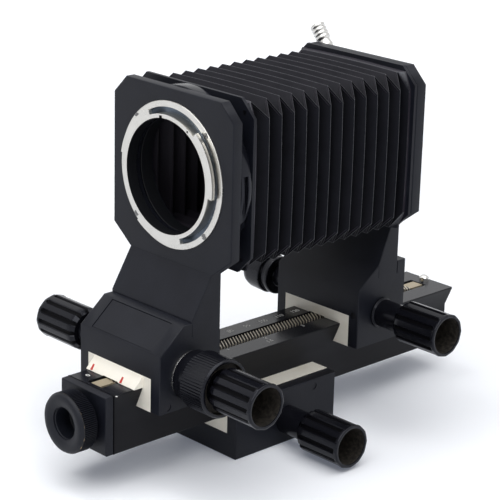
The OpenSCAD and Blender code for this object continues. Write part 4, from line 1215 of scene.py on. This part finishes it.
def text_mesh(name, text, size_mm):
    """Flat figures with a little thickness, centred on the origin."""
    curve = bpy.data.curves.new(name, "FONT")
    curve.body = text
    curve.size = size_mm * MM
    curve.align_x = "CENTER"
    curve.align_y = "CENTER"
    curve.extrude = PRINT_T / 2 * MM
    curve.offset = BOLD * MM
    curve.resolution_u = 3
    writer = bpy.data.objects.new(name, curve)
    mesh = bpy.data.meshes.new_from_object(writer)
    bpy.data.objects.remove(writer)
    return mesh


def print_on_rail(name, text, x, y, size_mm):
    """Figures on the rail's top that are read from the right."""
    mesh = text_mesh(name, text, size_mm)
    turned = Matrix.Rotation(math.radians(90), 4, "Z")
    mesh.transform(Matrix.Translation(mm(x, y, RAIL_TOP_Z + PRINT_T / 2)) @ turned)
    return add_piece(name, mesh, "rail", "black_anodised", white_print)


def slab(name, corners, finish, body, slot, thickness=PRINT_T):
    """A thin slab over four corners, standing as proud of them as it is thick."""
    points = [mm(*corner) for corner in corners]
    proud = (points[1] - points[0]).cross(points[3] - points[0]).normalized() * thickness * MM
    mesh = bpy.data.meshes.new(name)
    mesh.from_pydata(points + [point + proud for point in points], [],
                     [(3, 2, 1, 0), (4, 5, 6, 7), (0, 1, 5, 4), (1, 2, 6, 5), (2, 3, 7, 6), (3, 0, 4, 7)])
    return add_piece(name, mesh, body, slot, finish)


for index in range(NUMBERS):
    along = index * NUMBER_STEP
    print_on_rail("scale_number_" + str(index), str(along), NUMBER_X, FIRST_NUMBER_Y + along, NUMBER_SIZE)
for index, (text, x, y) in enumerate(RIGHT_MARKS):
    print_on_rail("right_mark_" + str(index), text, x, y, RIGHT_MARK_SIZE)
print_on_rail("corner_dot", ".", *CORNER_DOT, DOT_SIZE)
print("numbers:", NUMBERS, "on the left and", len(RIGHT_MARKS), "on the right")

# %% Red index lines
LIP_EDGE = (-77.6, 42.05)
LIP_TOP = (-72.8, 46.8)
MARK_SPAN = (0.01, 0.42)
MARK_XS = (-12.2, 6.5)
MARK_FOOT = (-0.75, 0.65)
MARK_HEAD = (-1.1, -0.1)

(low_y, low_z), (high_y, high_z) = [between(LIP_EDGE, LIP_TOP, share) for share in MARK_SPAN]
for index, x in enumerate(MARK_XS):
    slab("index_line_" + str(index),
         [(x + MARK_FOOT[0], low_y, low_z), (x + MARK_FOOT[1], low_y, low_z),
          (x + MARK_HEAD[1], high_y, high_z), (x + MARK_HEAD[0], high_y, high_z)],
         red_print, "front_standard", "white_nylon")
print("index lines:", len(MARK_XS))

# %% [markdown]
# ## The joint behind the end plate
#
# The end plate closes the rail's front end, and a thin dark line shows where they meet. A dull black
# slab across the rail, a hair larger than its section, makes that line.

# %% End plate joint
JOINT_T = 0.3
JOINT_FRONT_Y = -87.6
JOINT_Y = JOINT_FRONT_Y + JOINT_T
JOINT_HALF_W = 14.68
JOINT_LOW_Z = 16.0
JOINT_HIGH_Z = 41.66
slab("end_plate_joint", [(-JOINT_HALF_W, JOINT_Y, JOINT_LOW_Z), (JOINT_HALF_W, JOINT_Y, JOINT_LOW_Z),
                         (JOINT_HALF_W, JOINT_Y, JOINT_HIGH_Z), (-JOINT_HALF_W, JOINT_Y, JOINT_HIGH_Z)],
     flute_bottom, "rail", "black_anodised", JOINT_T)
print("joint line:", JOINT_T, "mm wide")

# %% [markdown]
# ## The stage
#
# The unit stands on a white table that runs away into white. The main lamp is broad and soft, as for
# small products, and hangs overhead. A small, weak one under its left half gives sparkle, and another
# lights from the right. A dim white room fills the shadows. The camera, metal and gloss see that room,
# and the far end of the table, as white.

# %% Floor
TABLE_REACH = 6.0


def camera_share(graph):
    """1 for what the camera sees straight or in a mirror or glass, 0 for the light on surfaces."""
    straight = graph.node("LightPath", output="Is Camera Ray")
    mirrored = graph.node("LightPath", output="Is Glossy Ray")
    passed = graph.node("LightPath", output="Is Transmission Ray")
    return straight.sum("MAXIMUM", straight.sum("MAXIMUM", straight, mirrored), passed)


def add_floor():
    mesh = bpy.data.meshes.new("floor")
    mesh.from_pydata([(-TABLE_REACH, -TABLE_REACH, 0), (TABLE_REACH, -TABLE_REACH, 0),
                      (TABLE_REACH, TABLE_REACH, 0), (-TABLE_REACH, TABLE_REACH, 0)], [], [(0, 1, 2, 3)])
    floor = bpy.data.objects.new("floor", mesh)
    bpy.context.scene.collection.objects.link(floor)
    graph = Graph("white_table")
    mottle = noise(graph, 60, 2.0)
    base = blend_colour(graph, mottle, colour(0.86, 0.87, 0.89), colour(0.88, 0.89, 0.91))
    away = graph.node("VectorMath", {"operation": "LENGTH"}, {0: here(graph)}, output=1)
    far = ramp(graph, away * 0.4, [(0.16, 0), (0.34, 0.33), (0.80, 1)])
    white = blend_colour(graph, far, colour(0.085, 0.095, 0.120), colour(0.96, 0.96, 0.96))
    glow = blend_colour(graph, camera_share(graph), colour(0, 0, 0), white)
    mesh.materials.append(graph.feed(Base_Color=base, Roughness=0.7, Emission_Color=glow,
                                     Emission_Strength=1.0))
    return floor


floor = add_floor()
print("floor laid", 2 * TABLE_REACH, "m wide")

# %% Room and lamps
ROOM_LIGHT = 0.25
LAMPS = [
    ("overhead", (0.20, -0.30, 1.35), (0, 0, 0.06), 1.8, 28),
    ("sparkle", (-0.35, -0.15, 1.3), (0, 0, 0.06), 0.15, 1),
    ("side", (1.2, -0.6, 0.9), (0, 0, 0.08), 0.25, 1.2),
]


def add_lamp(name, where, towards, size, power):
    data = bpy.data.lights.new(name, "AREA")
    data.shape = "SQUARE"
    data.size = size
    data.energy = power
    lamp = bpy.data.objects.new(name, data)
    bpy.context.scene.collection.objects.link(lamp)
    lamp.location = where
    lamp.rotation_euler = (Vector(towards) - Vector(where)).to_track_quat("-Z", "Y").to_euler()
    return lamp


world = bpy.data.worlds.new("bright_room")
bpy.context.scene.world = world
room = Graph("bright_room", world, "Background")
room.feed(Color=(1, 1, 1, 1), Strength=camera_share(room) * (1 - ROOM_LIGHT) + ROOM_LIGHT)
lamps = [add_lamp(*lamp) for lamp in LAMPS]
bpy.context.scene.view_settings.view_transform = "Standard"
print("lamps:", len(lamps))
